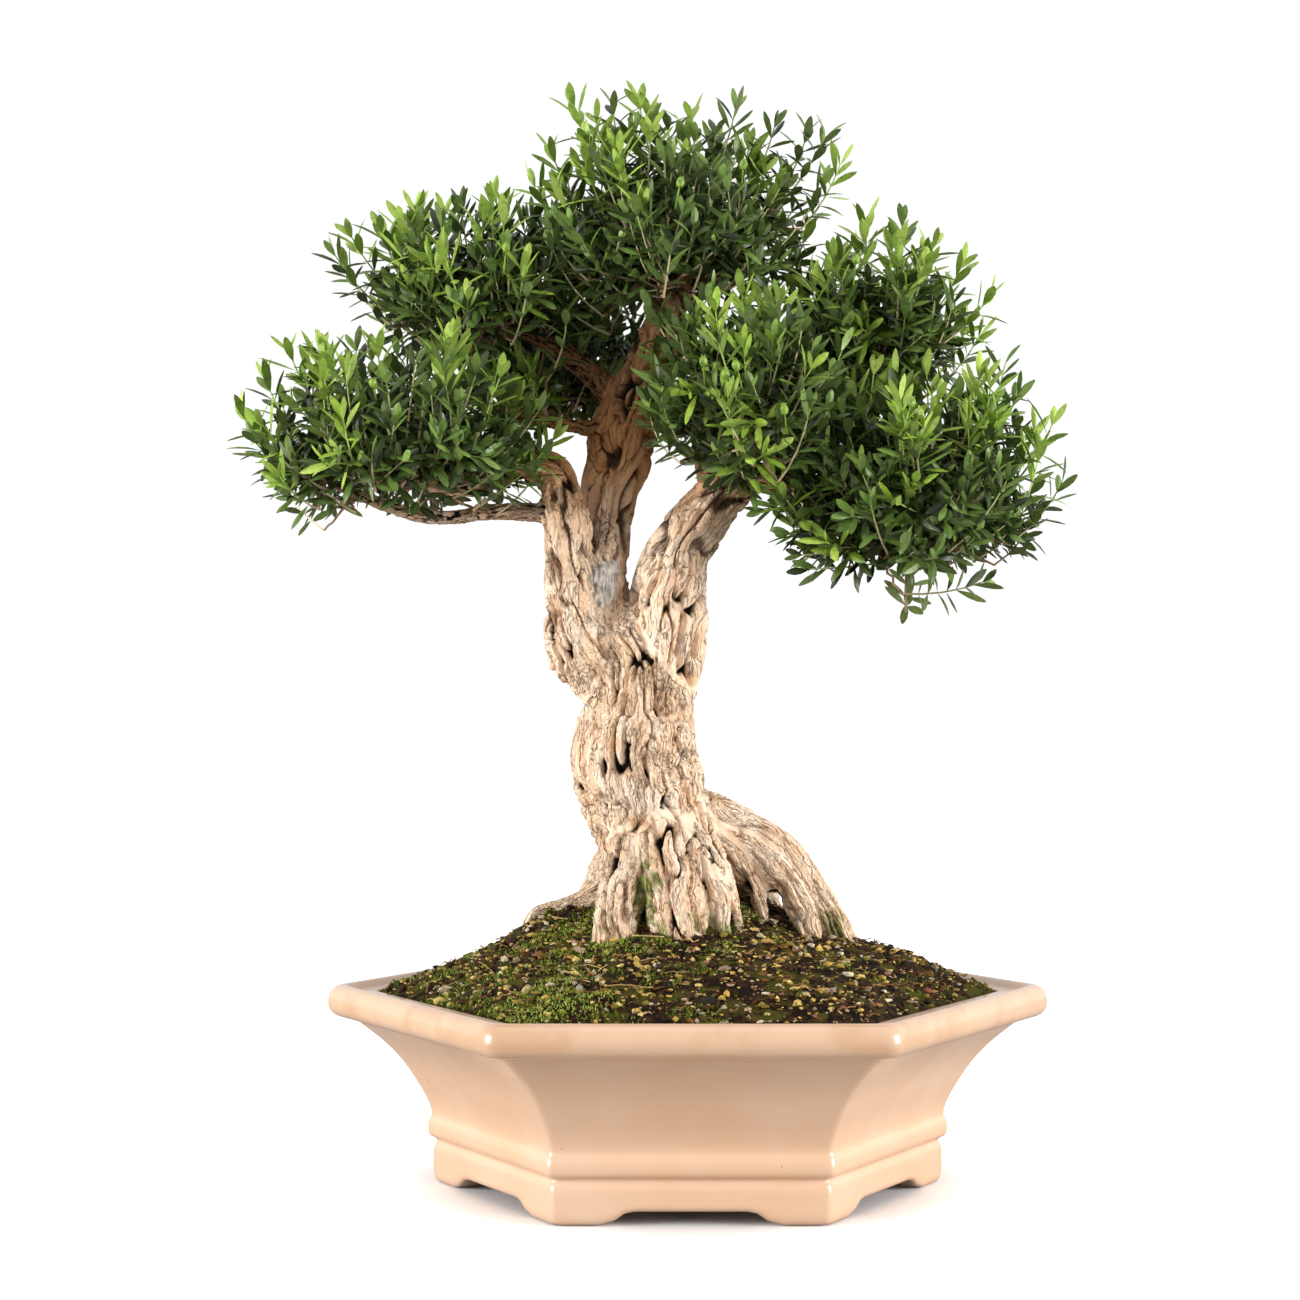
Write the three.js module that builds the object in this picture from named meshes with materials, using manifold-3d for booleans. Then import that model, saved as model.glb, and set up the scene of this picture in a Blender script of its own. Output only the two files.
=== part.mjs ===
// A Chinese boxwood bonsai in its hexagonal glazed pot, in millimetres, with +Z up.
// The tree leans and forks above a flare of arching roots. Eight cushions of foliage stand on its branches.
// The viewer of the front stands on the -Y side. The origin is the bottom centre of the whole object's box.
import * as THREE from "three";
import { mergeVertices } from "three/addons/utils/BufferGeometryUtils.js";
import Module from "manifold-3d";

const wasm = await Module();
wasm.setup();

// Driving dimensions of the pot. Radii of the hexagon are measured to its corners.
const POT_HEIGHT = 141;
const RIM_RADIUS = 260;
const MOUTH_RADIUS = 224;
const WAIST_RADIUS = 184;
const FOOT_RADIUS = 183;
const WALL = 12;
const FLOOR_UNDERSIDE = 20;
const FLOOR_TOP = 32;
const LOWER_WALL_HEIGHT = 73;
const LOWER_WALL_FLARE = 12;
const INNER_MOUTH_HEIGHT = 118;
const FOOT_LENGTH = 40;
const FOOT_WIDTH = 22;
const FOOT_ARCH_HEIGHT = 9;
const FOOT_ARCH_SHOULDER = 18;
const DRAIN_RADIUS = 16;
const DRAIN_CIRCLE = 88;
const DRAIN_COUNT = 3;
const DRAIN_SIDES = 12;

// Driving dimensions of the soil and the drainage screens.
const SOIL_EDGE_HEIGHT = 135;
const SOIL_MOUND = 52;
const SOIL_SLOPE_POWER = 2.2;
const SOIL_CROWN = 22;
const SOIL_CROWN_SHARE = 0.45;
const SOIL_GRIT = 1.6;
const SOIL_RINGS = [0.88, 0.74, 0.58, 0.42, 0.28, 0.14];
const SCREEN_SIZE = 44;
const SCREEN_THICKNESS = 1.6;
const SCREEN_CELLS = 3;
const SCREEN_BAR = 3.2;

// Driving dimensions of a leaf and of the clearances between pieces.
const LEAF_LENGTH = 27;
const LEAF_WIDTH = 7.4;
const LEAF_THICKNESS = 1.4;
const TOUCH_GAP = 0.35;
const LEAF_CLEARANCE = 0.6;
const SAME_NODE_CLEARANCE = 0.3;
const GOLDEN_ANGLE = Math.PI * (3 - Math.sqrt(5));

const glaze = new THREE.MeshStandardMaterial({ color: 0xe9c89f, roughness: 0.25, metalness: 0 });
const blackPlastic = new THREE.MeshStandardMaterial({ color: 0x1c1c1c, roughness: 0.6, metalness: 0 });
const earth = new THREE.MeshStandardMaterial({ color: 0x3d3320, roughness: 0.95, metalness: 0 });
const bark = new THREE.MeshStandardMaterial({ color: 0xd9b48a, roughness: 0.85, metalness: 0 });
const leafGreen = new THREE.MeshStandardMaterial({ color: 0x3f6b26, roughness: 0.45, metalness: 0 });

// Random numbers from a seed, so that every run grows the same tree.
function seeded(seed) {
  let state = seed >>> 0;
  return () => {
    state = (state * 1664525 + 1013904223) % 4294967296;
    return state / 4294967296;
  };
}

// Value of a list of numbers at a share u of its length, from 0 to 1.
function along(list, u) {
  const place = Math.min(Math.max(u, 0), 1) * (list.length - 1);
  const low = Math.min(Math.floor(place), list.length - 2);
  return THREE.MathUtils.lerp(list[low], list[low + 1], place - low);
}

const vector = (point) => new THREE.Vector3(...point);

// Solids: a closed geometry becomes a manifold solid, and a solid becomes a mesh again.
function solidOf(geometry) {
  const bare = geometry.clone();
  bare.deleteAttribute("normal");
  bare.deleteAttribute("uv");
  const merged = mergeVertices(bare, 1e-4);
  const corners = merged.index.array;
  const faces = [];
  for (let i = 0; i < corners.length; i += 3) {
    const [a, b, c] = [corners[i], corners[i + 1], corners[i + 2]];
    if (a !== b && b !== c && a !== c) faces.push(a, b, c);
  }
  const mesh = new wasm.Mesh({
    numProp: 3,
    vertProperties: merged.attributes.position.array,
    triVerts: new Uint32Array(faces),
  });
  return new wasm.Manifold(mesh);
}

function joined(solids) {
  return wasm.Manifold.union(solids);
}

// A cut can leave loose scraps, and only the largest body is kept.
function largestBody(solid) {
  return solid.decompose().reduce((best, body) => (body.volume() > best.volume() ? body : best));
}

function meshOf(name, solid, material) {
  const shape = solid.getMesh();
  const geometry = new THREE.BufferGeometry();
  geometry.setAttribute("position", new THREE.BufferAttribute(new Float32Array(shape.vertProperties), 3));
  geometry.setIndex(new THREE.BufferAttribute(new Uint32Array(shape.triVerts), 1));
  const flat = geometry.toNonIndexed();
  flat.computeVertexNormals();
  const mesh = new THREE.Mesh(flat, material);
  mesh.name = name;
  return mesh;
}

// Hexagonal turning: a lathe whose round section is bent to a hexagon with rounded corners.
// Each corner takes three of the eighteen vertices: the start, middle and end of its rounding.
const HEX_SIDES = 6;
const CORNER_POINTS = 3;
const HEX_SEGMENTS = HEX_SIDES * CORNER_POINTS;
function hexagonPoint(segment, cornerRadius, rounding) {
  const corner = Math.floor(segment / CORNER_POINTS);
  const place = (segment % CORNER_POINTS) - 1;
  const direction = (corner * 2 * Math.PI) / HEX_SIDES;
  const inset = rounding / Math.cos(Math.PI / HEX_SIDES);
  const turn = direction + (place * Math.PI) / HEX_SIDES;
  return new THREE.Vector2(
    (cornerRadius - inset) * Math.cos(direction) + rounding * Math.cos(turn),
    (cornerRadius - inset) * Math.sin(direction) + rounding * Math.sin(turn),
  );
}

// The profile lists [corner radius, height, rounding of the corner], and starts and ends on the axis.
// A relief formula can raise each point by its place.
function hexagonLathe(profile, relief = () => 0) {
  const outline = profile.map(([radius, height]) => new THREE.Vector2(radius, height));
  const geometry = new THREE.LatheGeometry(outline, HEX_SEGMENTS);
  const position = geometry.attributes.position;
  for (let i = 0; i < position.count; i++) {
    const segment = Math.floor(i / profile.length) % HEX_SEGMENTS;
    const [radius, height, rounding] = profile[i % profile.length];
    const point = radius > 0 ? hexagonPoint(segment, radius, rounding) : new THREE.Vector2(0, 0);
    position.setXYZ(i, point.x, point.y, height + relief(point.x, point.y, height));
  }
  const solid = solidOf(geometry);
  return solid.volume() > 0 ? solid : solidOf(turnedInsideOut(geometry));
}

function turnedInsideOut(geometry) {
  const index = geometry.index;
  for (let i = 0; i < index.count; i += 3) {
    const [second, third] = [index.getX(i + 1), index.getX(i + 2)];
    index.setX(i + 1, third);
    index.setX(i + 2, second);
  }
  return geometry;
}

// Pot: the inside of its floor and lower wall also shapes the soil.
const RIM_ROUNDING = 15;
const BODY_ROUNDING = 6;
const INNER_ROUNDING = 10;
const FLOOR_EDGE_RADIUS = WAIST_RADIUS - WALL - 3;
const LOWER_WALL_RADIUS = WAIST_RADIUS + LOWER_WALL_FLARE - WALL;

function potShell() {
  return hexagonLathe([
    [0, FLOOR_UNDERSIDE, 0],
    [FOOT_RADIUS - FOOT_WIDTH - 2, FLOOR_UNDERSIDE, BODY_ROUNDING],
    [FOOT_RADIUS - FOOT_WIDTH, 0, BODY_ROUNDING],
    [FOOT_RADIUS - 5, 0, BODY_ROUNDING + 3],
    [FOOT_RADIUS, 6, BODY_ROUNDING + 3],
    [FOOT_RADIUS, 26, BODY_ROUNDING],
    [FOOT_RADIUS - 2.5, 29.5, BODY_ROUNDING],
    [WAIST_RADIUS + 3, 33.5, BODY_ROUNDING],
    [WAIST_RADIUS + 3, 43, BODY_ROUNDING],
    [WAIST_RADIUS - 1, 49, BODY_ROUNDING],
    [WAIST_RADIUS + LOWER_WALL_FLARE, LOWER_WALL_HEIGHT, BODY_ROUNDING],
    [WAIST_RADIUS + 33, 99, BODY_ROUNDING],
    [WAIST_RADIUS + 54, 117, BODY_ROUNDING],
    [RIM_RADIUS - 9, 119.5, RIM_ROUNDING],
    [RIM_RADIUS, 127, RIM_ROUNDING],
    [RIM_RADIUS - 2, 137, RIM_ROUNDING],
    [RIM_RADIUS - 9, POT_HEIGHT, RIM_ROUNDING],
    [RIM_RADIUS - 18, POT_HEIGHT - 3.5, INNER_ROUNDING],
    [MOUTH_RADIUS, POT_HEIGHT - 4.5, INNER_ROUNDING],
    [MOUTH_RADIUS, INNER_MOUTH_HEIGHT, INNER_ROUNDING],
    [LOWER_WALL_RADIUS, LOWER_WALL_HEIGHT, INNER_ROUNDING],
    [FLOOR_EDGE_RADIUS, FLOOR_TOP, INNER_ROUNDING],
    [0, FLOOR_TOP, 0],
  ]);
}

// The arch between two feet, extruded from one side of the pot through the opposite side.
function footArch(side) {
  const halfSpan = FOOT_RADIUS / 2 - FOOT_LENGTH + 6;
  const flat = halfSpan - FOOT_ARCH_SHOULDER;
  const top = FOOT_ARCH_HEIGHT;
  const below = -1;
  const shape = new THREE.Shape();
  shape.moveTo(-halfSpan, below);
  shape.lineTo(halfSpan, below);
  shape.bezierCurveTo(halfSpan - 5, top / 3, halfSpan - 7, top, flat, top);
  shape.lineTo(-flat, top);
  shape.bezierCurveTo(7 - halfSpan, top, 5 - halfSpan, top / 3, -halfSpan, below);
  const depth = 2 * FOOT_RADIUS;
  const geometry = new THREE.ExtrudeGeometry(shape, { depth, bevelEnabled: false, curveSegments: 2 });
  geometry.translate(0, 0, -depth / 2);
  geometry.rotateX(Math.PI / 2);
  geometry.rotateZ((side * Math.PI) / 3);
  return solidOf(geometry);
}

function drainPlace(number) {
  const angle = Math.PI / 2 + (number * 2 * Math.PI) / DRAIN_COUNT;
  return [DRAIN_CIRCLE * Math.cos(angle), DRAIN_CIRCLE * Math.sin(angle)];
}

function drainHole(number) {
  const hole = new THREE.CylinderGeometry(DRAIN_RADIUS, DRAIN_RADIUS, 3 * WALL, DRAIN_SIDES);
  hole.rotateX(Math.PI / 2);
  const [x, y] = drainPlace(number);
  hole.translate(x, y, (FLOOR_UNDERSIDE + FLOOR_TOP) / 2);
  return solidOf(hole);
}

function pot() {
  const cuts = [0, 1, 2].map(footArch);
  for (let number = 0; number < DRAIN_COUNT; number++) cuts.push(drainHole(number));
  return potShell().subtract(joined(cuts));
}

// Drainage screens: a square of plastic mesh lies over each drain hole, under the soil.
function screenBlank(number, margin) {
  const side = SCREEN_SIZE + 2 * margin;
  const blank = new THREE.BoxGeometry(side, side, SCREEN_THICKNESS + 2 * margin);
  const [x, y] = drainPlace(number);
  blank.translate(x, y, FLOOR_TOP + TOUCH_GAP + SCREEN_THICKNESS / 2);
  return solidOf(blank);
}

function screen(number) {
  const pitch = (SCREEN_SIZE - SCREEN_BAR) / SCREEN_CELLS;
  const opening = pitch - SCREEN_BAR;
  const [x, y] = drainPlace(number);
  const holes = [];
  for (let column = 0; column < SCREEN_CELLS; column++) {
    for (let row = 0; row < SCREEN_CELLS; row++) {
      const hole = new THREE.BoxGeometry(opening, opening, 6 * SCREEN_THICKNESS);
      const middle = (SCREEN_CELLS - 1) / 2;
      hole.translate(x + (column - middle) * pitch, y + (row - middle) * pitch, FLOOR_TOP + SCREEN_THICKNESS);
      holes.push(solidOf(hole));
    }
  }
  return screenBlank(number, 0).subtract(joined(holes));
}

// Wood: a limb is a cylinder bent along a smooth curve. Its bark stands in ridges that run along it.
// The same limb grown by a margin is the tool that keeps its neighbours clear of it.
const RIDGE_ALONG = 1.3;
const RIDGE_KNOTS = 0.7;
const LIMB_SEED_STEP = 7919;
function limb({ path, radii, sides, steps, ridge, seed, flat = 1 }, grow = 0) {
  const curve = new THREE.CatmullRomCurve3(path.map(vector), false, "centripetal");
  const frames = curve.computeFrenetFrames(steps, false);
  const random = seeded(seed * LIMB_SEED_STEP);
  const columns = Array.from({ length: sides }, () => random() - 0.5);
  const knots = Array.from({ length: (steps + 1) * sides }, () => random() - 0.5);
  const geometry = new THREE.CylinderGeometry(1, 1, 1, sides, steps);
  const position = geometry.attributes.position;
  const centres = Array.from({ length: steps + 1 }, (unused, step) => curve.getPointAt(step / steps));
  for (let i = 0; i < position.count; i++) {
    const [x, height, z] = [position.getX(i), position.getY(i) + 0.5, position.getZ(i)];
    const step = Math.round(height * steps);
    const turn = (Math.atan2(z, x) / (2 * Math.PI) + 1) * sides;
    const column = Math.round(turn) % sides;
    const rise = RIDGE_ALONG * columns[column] + RIDGE_KNOTS * knots[step * sides + column];
    const relief = 1 + ridge * rise;
    const radius = along(radii, height) * relief + grow;
    const atEnd = step === 0 ? -grow : step === steps ? grow : 0;
    const point = centres[step].clone();
    point.addScaledVector(frames.tangents[step], atEnd);
    point.addScaledVector(frames.normals[step], x * radius);
    point.addScaledVector(frames.binormals[step], -z * radius * flat);
    position.setXYZ(i, point.x, point.y, point.z);
  }
  return solidOf(geometry);
}

// The trunk's body and its three heavy limbs.
const heavyLimbs = [
  {
    path: [
      [-16, 2, 206], [-22, 2, 237], [-29, 2, 272], [-36, 2, 306], [-38, 2, 330],
      [-39, 2, 352], [-43, 3, 374], [-48, 6, 396], [-54, 10, 418],
    ],
    radii: [37, 41, 46, 50, 46, 44, 44, 36, 12],
    sides: 18,
    steps: 14,
    ridge: 0.16,
    seed: 3,
    flat: 0.88,
  },
  {
    path: [
      [-50, 0, 318], [-60, -4, 350], [-75, -8, 393], [-81, -12, 438], [-86, -14, 478], [-94, -16, 502],
      [-118, -19, 510], [-146, -23, 503], [-175, -28, 497], [-205, -32, 500],
    ],
    radii: [13, 20, 26, 19, 15, 14, 11, 9, 7, 5],
    sides: 9,
    steps: 14,
    ridge: 0.2,
    seed: 5,
  },
  {
    path: [
      [-44, 8, 325], [-50, 12, 362], [-56, 16, 405], [-60, 20, 450], [-56, 24, 490], [-48, 25, 520],
      [-42, 24, 548], [-32, 22, 575], [-20, 18, 605], [-8, 12, 640], [-2, 8, 676],
    ],
    radii: [15, 25, 22, 18, 19, 23, 25, 21, 15, 11, 7],
    sides: 11,
    steps: 14,
    ridge: 0.2,
    seed: 7,
  },
  {
    path: [
      [-30, 0, 318], [-22, -3, 352], [-16, -6, 393], [-13, -8, 430], [-6, -9, 456], [10, -9, 475],
      [26, -9, 496], [43, -9, 510],
    ],
    radii: [14, 27, 29, 28, 25, 21, 18, 14],
    sides: 11,
    steps: 11,
    ridge: 0.2,
    seed: 11,
  },
];

// Roots: [path, radii]. They leave the trunk's foot, arch over the mound and go down into it.
const rootList = [
  [[[-40, -14, 262], [-48, -34, 226], [-54, -50, 196], [-57, -60, 164]], [20, 20, 17, 14]],
  [[[-20, -16, 268], [-14, -38, 232], [-8, -54, 200], [-3, -64, 162]], [24, 24, 21, 19]],
  [[[-4, -12, 262], [10, -30, 228], [20, -44, 200], [28, -52, 164]], [20, 18, 15, 12]],
  [
    [[-24, 8, 274], [20, 12, 260], [48, 11, 248], [70, 9, 232], [88, 5, 212], [103, 1, 192], [115, -3, 162]],
    [20, 19, 17, 15, 13, 13, 12],
  ],
  [[[-4, 6, 254], [28, -2, 238], [46, -10, 214], [56, -16, 190], [60, -18, 164]], [15, 12, 10, 8, 7]],
  [[[6, 8, 256], [44, 0, 238], [66, -10, 216], [82, -18, 192], [90, -22, 164]], [13, 12, 11, 10, 8]],
  [
    [[-34, 10, 238], [-54, 16, 212], [-72, 20, 201], [-91, 24, 194], [-108, 25, 189], [-119, 24, 168]],
    [18, 12, 9, 7, 6.5, 6],
  ],
  [[[-40, 16, 252], [-58, 48, 218], [-70, 74, 194], [-78, 90, 162]], [19, 15, 12, 11]],
  [[[-16, 18, 262], [-6, 52, 226], [2, 78, 196], [8, 94, 162]], [21, 17, 13, 12]],
  [[[4, 14, 260], [34, 42, 226], [54, 64, 198], [66, 78, 162]], [18, 14, 11, 10]],
];
const roots = rootList.map(([path, radii], number) => ({
  path,
  radii,
  sides: 6,
  steps: 5,
  ridge: 0.14,
  seed: 20 + number,
}));

// Branches that carry the cushions of foliage, and one bare low branch on the left.
const branchPaths = {
  leftLow: [[-146, -23, 503], [-175, -30, 500], [-205, -36, 506], [-232, -38, 514]],
  leftUp: [[-42, 24, 556], [-72, 28, 586], [-108, 30, 610], [-152, 30, 628]],
  top: [[-22, 18, 600], [-8, 12, 640], [-3, 8, 668], [-2, 5, 690]],
  rightUp: [[26, -9, 496], [50, 0, 536], [88, 12, 568], [136, 20, 624]],
  rightLow: [[36, -9, 506], [74, -14, 500], [112, -20, 478], [144, -25, 452], [164, -28, 440]],
  middle: [[20, -8, 486], [12, -20, 518], [20, -40, 548], [36, -56, 562]],
  backLeft: [[-44, 24, 540], [-56, 54, 562], [-76, 84, 580], [-96, 104, 590]],
  backRight: [[-36, 22, 564], [-8, 56, 568], [36, 86, 574], [76, 108, 578]],
};
const BRANCH_RADII = [12, 8, 6, 4.5];
const extraBranches = [
  {
    path: [[-88, -12, 478], [-135, -15, 480], [-176, -22, 475], [-216, -30, 484], [-258, -36, 502]],
    radii: [8, 6, 5.5, 4.5, 3],
  },
  { path: [[-50, 20, 536], [-76, 8, 533], [-102, -6, 536], [-136, -20, 543]], radii: [9, 6, 5, 3] },
  { path: [[-10, 12, 634], [-36, 8, 655], [-53, 4, 680], [-60, 2, 702]], radii: [9, 6, 5, 3] },
];

const branches = Object.values(branchPaths).map((path, number) => ({
  path,
  radii: BRANCH_RADII,
  sides: 6,
  steps: 4,
  ridge: 0.16,
  seed: 50 + number,
}));
const thinBranches = extraBranches.map((branch, number) => ({
  ...branch,
  sides: 5,
  steps: 5,
  ridge: 0.16,
  seed: 70 + number,
}));
const woodLimbs = [...heavyLimbs, ...roots, ...branches, ...thinBranches];

function wood(grow = 0) {
  return joined(woodLimbs.map((one) => limb(one, grow)));
}

// Soil: it fills the pot to the mouth and rises to the trunk. Its top is gritty.
function soilHeight(share) {
  const crown = Math.max(0, 1 - (share / SOIL_CROWN_SHARE) ** 2) ** 2;
  return SOIL_EDGE_HEIGHT + SOIL_MOUND * (1 - share ** SOIL_SLOPE_POWER) + SOIL_CROWN * crown;
}

// Two shoulders raise the mound: one under the left root and one behind the right roots.
const soilShoulders = [
  { x: -98, y: 20, height: 17, reach: 36 },
  { x: 66, y: 40, height: 14, reach: 32 },
];
const GRIT_WAVE_X = 0.21;
const GRIT_WAVE_Y = 0.19;
const GRIT_PHASE = 0.6;
function soilRelief(x, y, height) {
  if (height <= SOIL_EDGE_HEIGHT) return 0;
  const grit = SOIL_GRIT * Math.sin(GRIT_WAVE_X * x + GRIT_PHASE) * Math.cos(GRIT_WAVE_Y * y);
  return soilShoulders.reduce((sum, shoulder) => {
    const away = Math.hypot(x - shoulder.x, y - shoulder.y) / shoulder.reach;
    return sum + shoulder.height * Math.exp(-away * away);
  }, grit);
}

// Slack is added to the gap where two curved skins are faceted differently.
const FACET_SLACK = 0.1;
function soilBody() {
  const wallGap = TOUCH_GAP / Math.cos(Math.PI / HEX_SIDES) + FACET_SLACK;
  const profile = [
    [0, FLOOR_TOP + TOUCH_GAP, 0],
    [FLOOR_EDGE_RADIUS - wallGap, FLOOR_TOP + TOUCH_GAP, INNER_ROUNDING],
    [LOWER_WALL_RADIUS - wallGap, LOWER_WALL_HEIGHT, INNER_ROUNDING],
    [MOUTH_RADIUS - wallGap, INNER_MOUTH_HEIGHT + 0.3, INNER_ROUNDING],
    [MOUTH_RADIUS - wallGap, SOIL_EDGE_HEIGHT, INNER_ROUNDING],
  ];
  for (const share of SOIL_RINGS) {
    const roundness = Math.min(1, 2 * (1 - share));
    const rounding = MOUTH_RADIUS * share * roundness * Math.cos(Math.PI / HEX_SIDES);
    profile.push([MOUTH_RADIUS * share, soilHeight(share), Math.max(rounding, INNER_ROUNDING)]);
  }
  profile.push([0, soilHeight(0), 0]);
  return hexagonLathe(profile, soilRelief);
}

function soil() {
  const cuts = [heavyLimbs[0], ...roots].map((one) => limb(one, TOUCH_GAP + FACET_SLACK));
  for (let number = 0; number < DRAIN_COUNT; number++) cuts.push(screenBlank(number, TOUCH_GAP));
  return largestBody(soilBody().subtract(joined(cuts)));
}

// Leaves: a spoon-shaped blade, blunt at its tip, is drawn out of one face of its stem.
// Its shares are of the leaf's length from the stem, and of its width to each side of the middle.
const LEAF_WIDEST = { share: 0.58, half: 0.5 };
const LEAF_TIP = { share: 1, half: 0.27 };
const LEAF_RIB_PLACE = 0.5;
const LEAF_ARCH = 0.1;

function leafPoint(frame, share, across, rise = 0) {
  const arch = -LEAF_ARCH * LEAF_LENGTH * share * share;
  return frame.foot
    .clone()
    .addScaledVector(frame.along, share * LEAF_LENGTH)
    .addScaledVector(frame.across, across * LEAF_WIDTH)
    .addScaledVector(frame.up, rise + arch);
}

// The faces of a blade whose foot is a face of the stem. That face's corners a, b, c, d are its lower left,
// lower right, upper right and upper left.
function bladeFaces([a, b, c, d], frame) {
  const [left, right] = [-1, 1].map((side) => leafPoint(frame, LEAF_WIDEST.share, side * LEAF_WIDEST.half));
  const [tipLeft, tipRight] = [-1, 1].map((side) => leafPoint(frame, LEAF_TIP.share, side * LEAF_TIP.half));
  const rib = leafPoint(frame, LEAF_RIB_PLACE, 0, LEAF_THICKNESS);
  const under = [a, b, right, a, right, left, left, right, tipRight, left, tipRight, tipLeft];
  const edges = [b, c, right, d, a, left];
  const upper = [c, d, rib, c, rib, right, d, left, rib, right, rib, tipRight, rib, left, tipLeft];
  return [...under, ...edges, ...upper, rib, tipLeft, tipRight];
}

// Cushions of foliage. Each is a dense bush: a small rugged core of inner twigs, and leafy shoots that stand
// out of it on all sides. It has a centre, three radii to the leaf tips, the share of them that the core
// takes, how far below its middle it still carries shoots, and its number of shoots.
const cushions = [
  { name: "left_low", centre: [-205, -35, 530], radii: [138, 96, 86], core: 0.42, below: 0.55, shoots: 12 },
  { name: "left_up", centre: [-158, 30, 640], radii: [108, 84, 74], core: 0.4, below: 0.45, shoots: 10 },
  { name: "top", centre: [-2, 5, 690], radii: [118, 96, 100], core: 0.42, below: 0.5, shoots: 13 },
  { name: "right_up", centre: [140, 20, 632], radii: [90, 80, 68], core: 0.38, below: 0.45, shoots: 9 },
  { name: "right_low", centre: [162, -25, 502], radii: [122, 95, 104], core: 0.42, below: 0.8, shoots: 14 },
  { name: "middle", centre: [46, -62, 580], radii: [86, 66, 74], core: 0.36, below: 0.55, shoots: 9 },
  { name: "back_left", centre: [-92, 104, 600], radii: [95, 74, 68], core: 0.38, below: 0.45, shoots: 9 },
  { name: "back_right", centre: [84, 108, 588], radii: [98, 74, 70], core: 0.38, below: 0.45, shoots: 9 },
];
const CORE_DETAIL = 1;
const CORE_RUGGED = 0.3;
const CORE_WAVES = [9, 8, 7];

function core(cushion, number) {
  const geometry = new THREE.IcosahedronGeometry(1, CORE_DETAIL);
  const position = geometry.attributes.position;
  for (let i = 0; i < position.count; i++) {
    const point = new THREE.Vector3().fromBufferAttribute(position, i);
    const [waveX, waveY, waveZ] = CORE_WAVES;
    const wave = Math.sin(waveX * point.x + number) * Math.cos(waveY * point.y - waveZ * point.z + number);
    const size = cushion.core * (1 + CORE_RUGGED * wave);
    point.multiplyScalar(size).multiply(vector(cushion.radii)).add(vector(cushion.centre));
    position.setXYZ(i, point.x, point.y, point.z);
  }
  return solidOf(geometry);
}

// Whether a point lies within a margin of a cushion's core.
function isInCore(point, cushion, margin) {
  const away = point.clone().sub(vector(cushion.centre));
  const reach = vector(cushion.radii).multiplyScalar(cushion.core * (1 + CORE_RUGGED)).addScalar(margin);
  return away.divide(reach).length() < 1;
}

// Room for the leaves: every stem and blade is kept as a capsule. A new one must clear those taken before it
// and the cores of the other cushions.
function capsuleGap(one, other) {
  const d1 = one.end.clone().sub(one.start);
  const d2 = other.end.clone().sub(other.start);
  const between = one.start.clone().sub(other.start);
  const [a, e, f] = [d1.dot(d1), d2.dot(d2), d2.dot(between)];
  const [b, c] = [d1.dot(d2), d1.dot(between)];
  const slack = a * e - b * b;
  let s = slack > 1e-9 ? THREE.MathUtils.clamp((b * f - c * e) / slack, 0, 1) : 0;
  const t = THREE.MathUtils.clamp((b * s + f) / e, 0, 1);
  s = THREE.MathUtils.clamp((b * t - c) / a, 0, 1);
  const nearest = one.start.clone().addScaledVector(d1, s);
  const facing = other.start.clone().addScaledVector(d2, t);
  return nearest.distanceTo(facing) - one.radius - other.radius;
}

const taken = [];
function isClear(capsule) {
  const { node, start, end, radius } = capsule;
  const middle = start.clone().lerp(end, 0.5);
  const margin = radius + TOUCH_GAP;
  const meetsCore = cushions.some((cushion, number) => {
    return number !== node && [start, middle, end].some((point) => isInCore(point, cushion, margin));
  });
  if (meetsCore) return false;
  return taken.every((other) => {
    return capsuleGap(capsule, other) > (other.node === node ? SAME_NODE_CLEARANCE : LEAF_CLEARANCE);
  });
}

function limbCapsules({ path, radii }, node) {
  const curve = new THREE.CatmullRomCurve3(path.map(vector), false, "centripetal");
  const pieces = 4 * path.length;
  return Array.from({ length: pieces }, (unused, i) => {
    const [start, end] = [curve.getPointAt(i / pieces), curve.getPointAt((i + 1) / pieces)];
    return { node, start, end, radius: along(radii, (i + 0.5) / pieces) };
  });
}

// The space that a blade takes, from just outside its stem to near its tip.
const BLADE_FREE_FROM = 0.32;
const BLADE_FREE_TO = 0.88;
function bladeCapsule(frame, node) {
  const start = leafPoint(frame, BLADE_FREE_FROM, 0);
  const end = leafPoint(frame, BLADE_FREE_TO, 0);
  return { node, start, end, radius: LEAF_WIDTH / 2 };
}

// A leafy stem is one skin: square rings along a curve, with a blade drawn out of two opposite faces at each
// pair. Each pair stands a quarter turn from the last. Pairs are numbered from the tip.
const STEM_SIDES = 4;
const QUARTER = Math.PI / 2;
const PAIR_SPACING = 13;
const PAIR_HEIGHT = 2.2;
const TIP_SPLAY = 0.65;
const LOWER_SPLAY = 0.95;
const TURN_TRIES = [0, 0.3, -0.3, 0.6, -0.6];
const SPLAY_PER_TURN = 0.3;
const CURVE_PLACES = 40;

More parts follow.
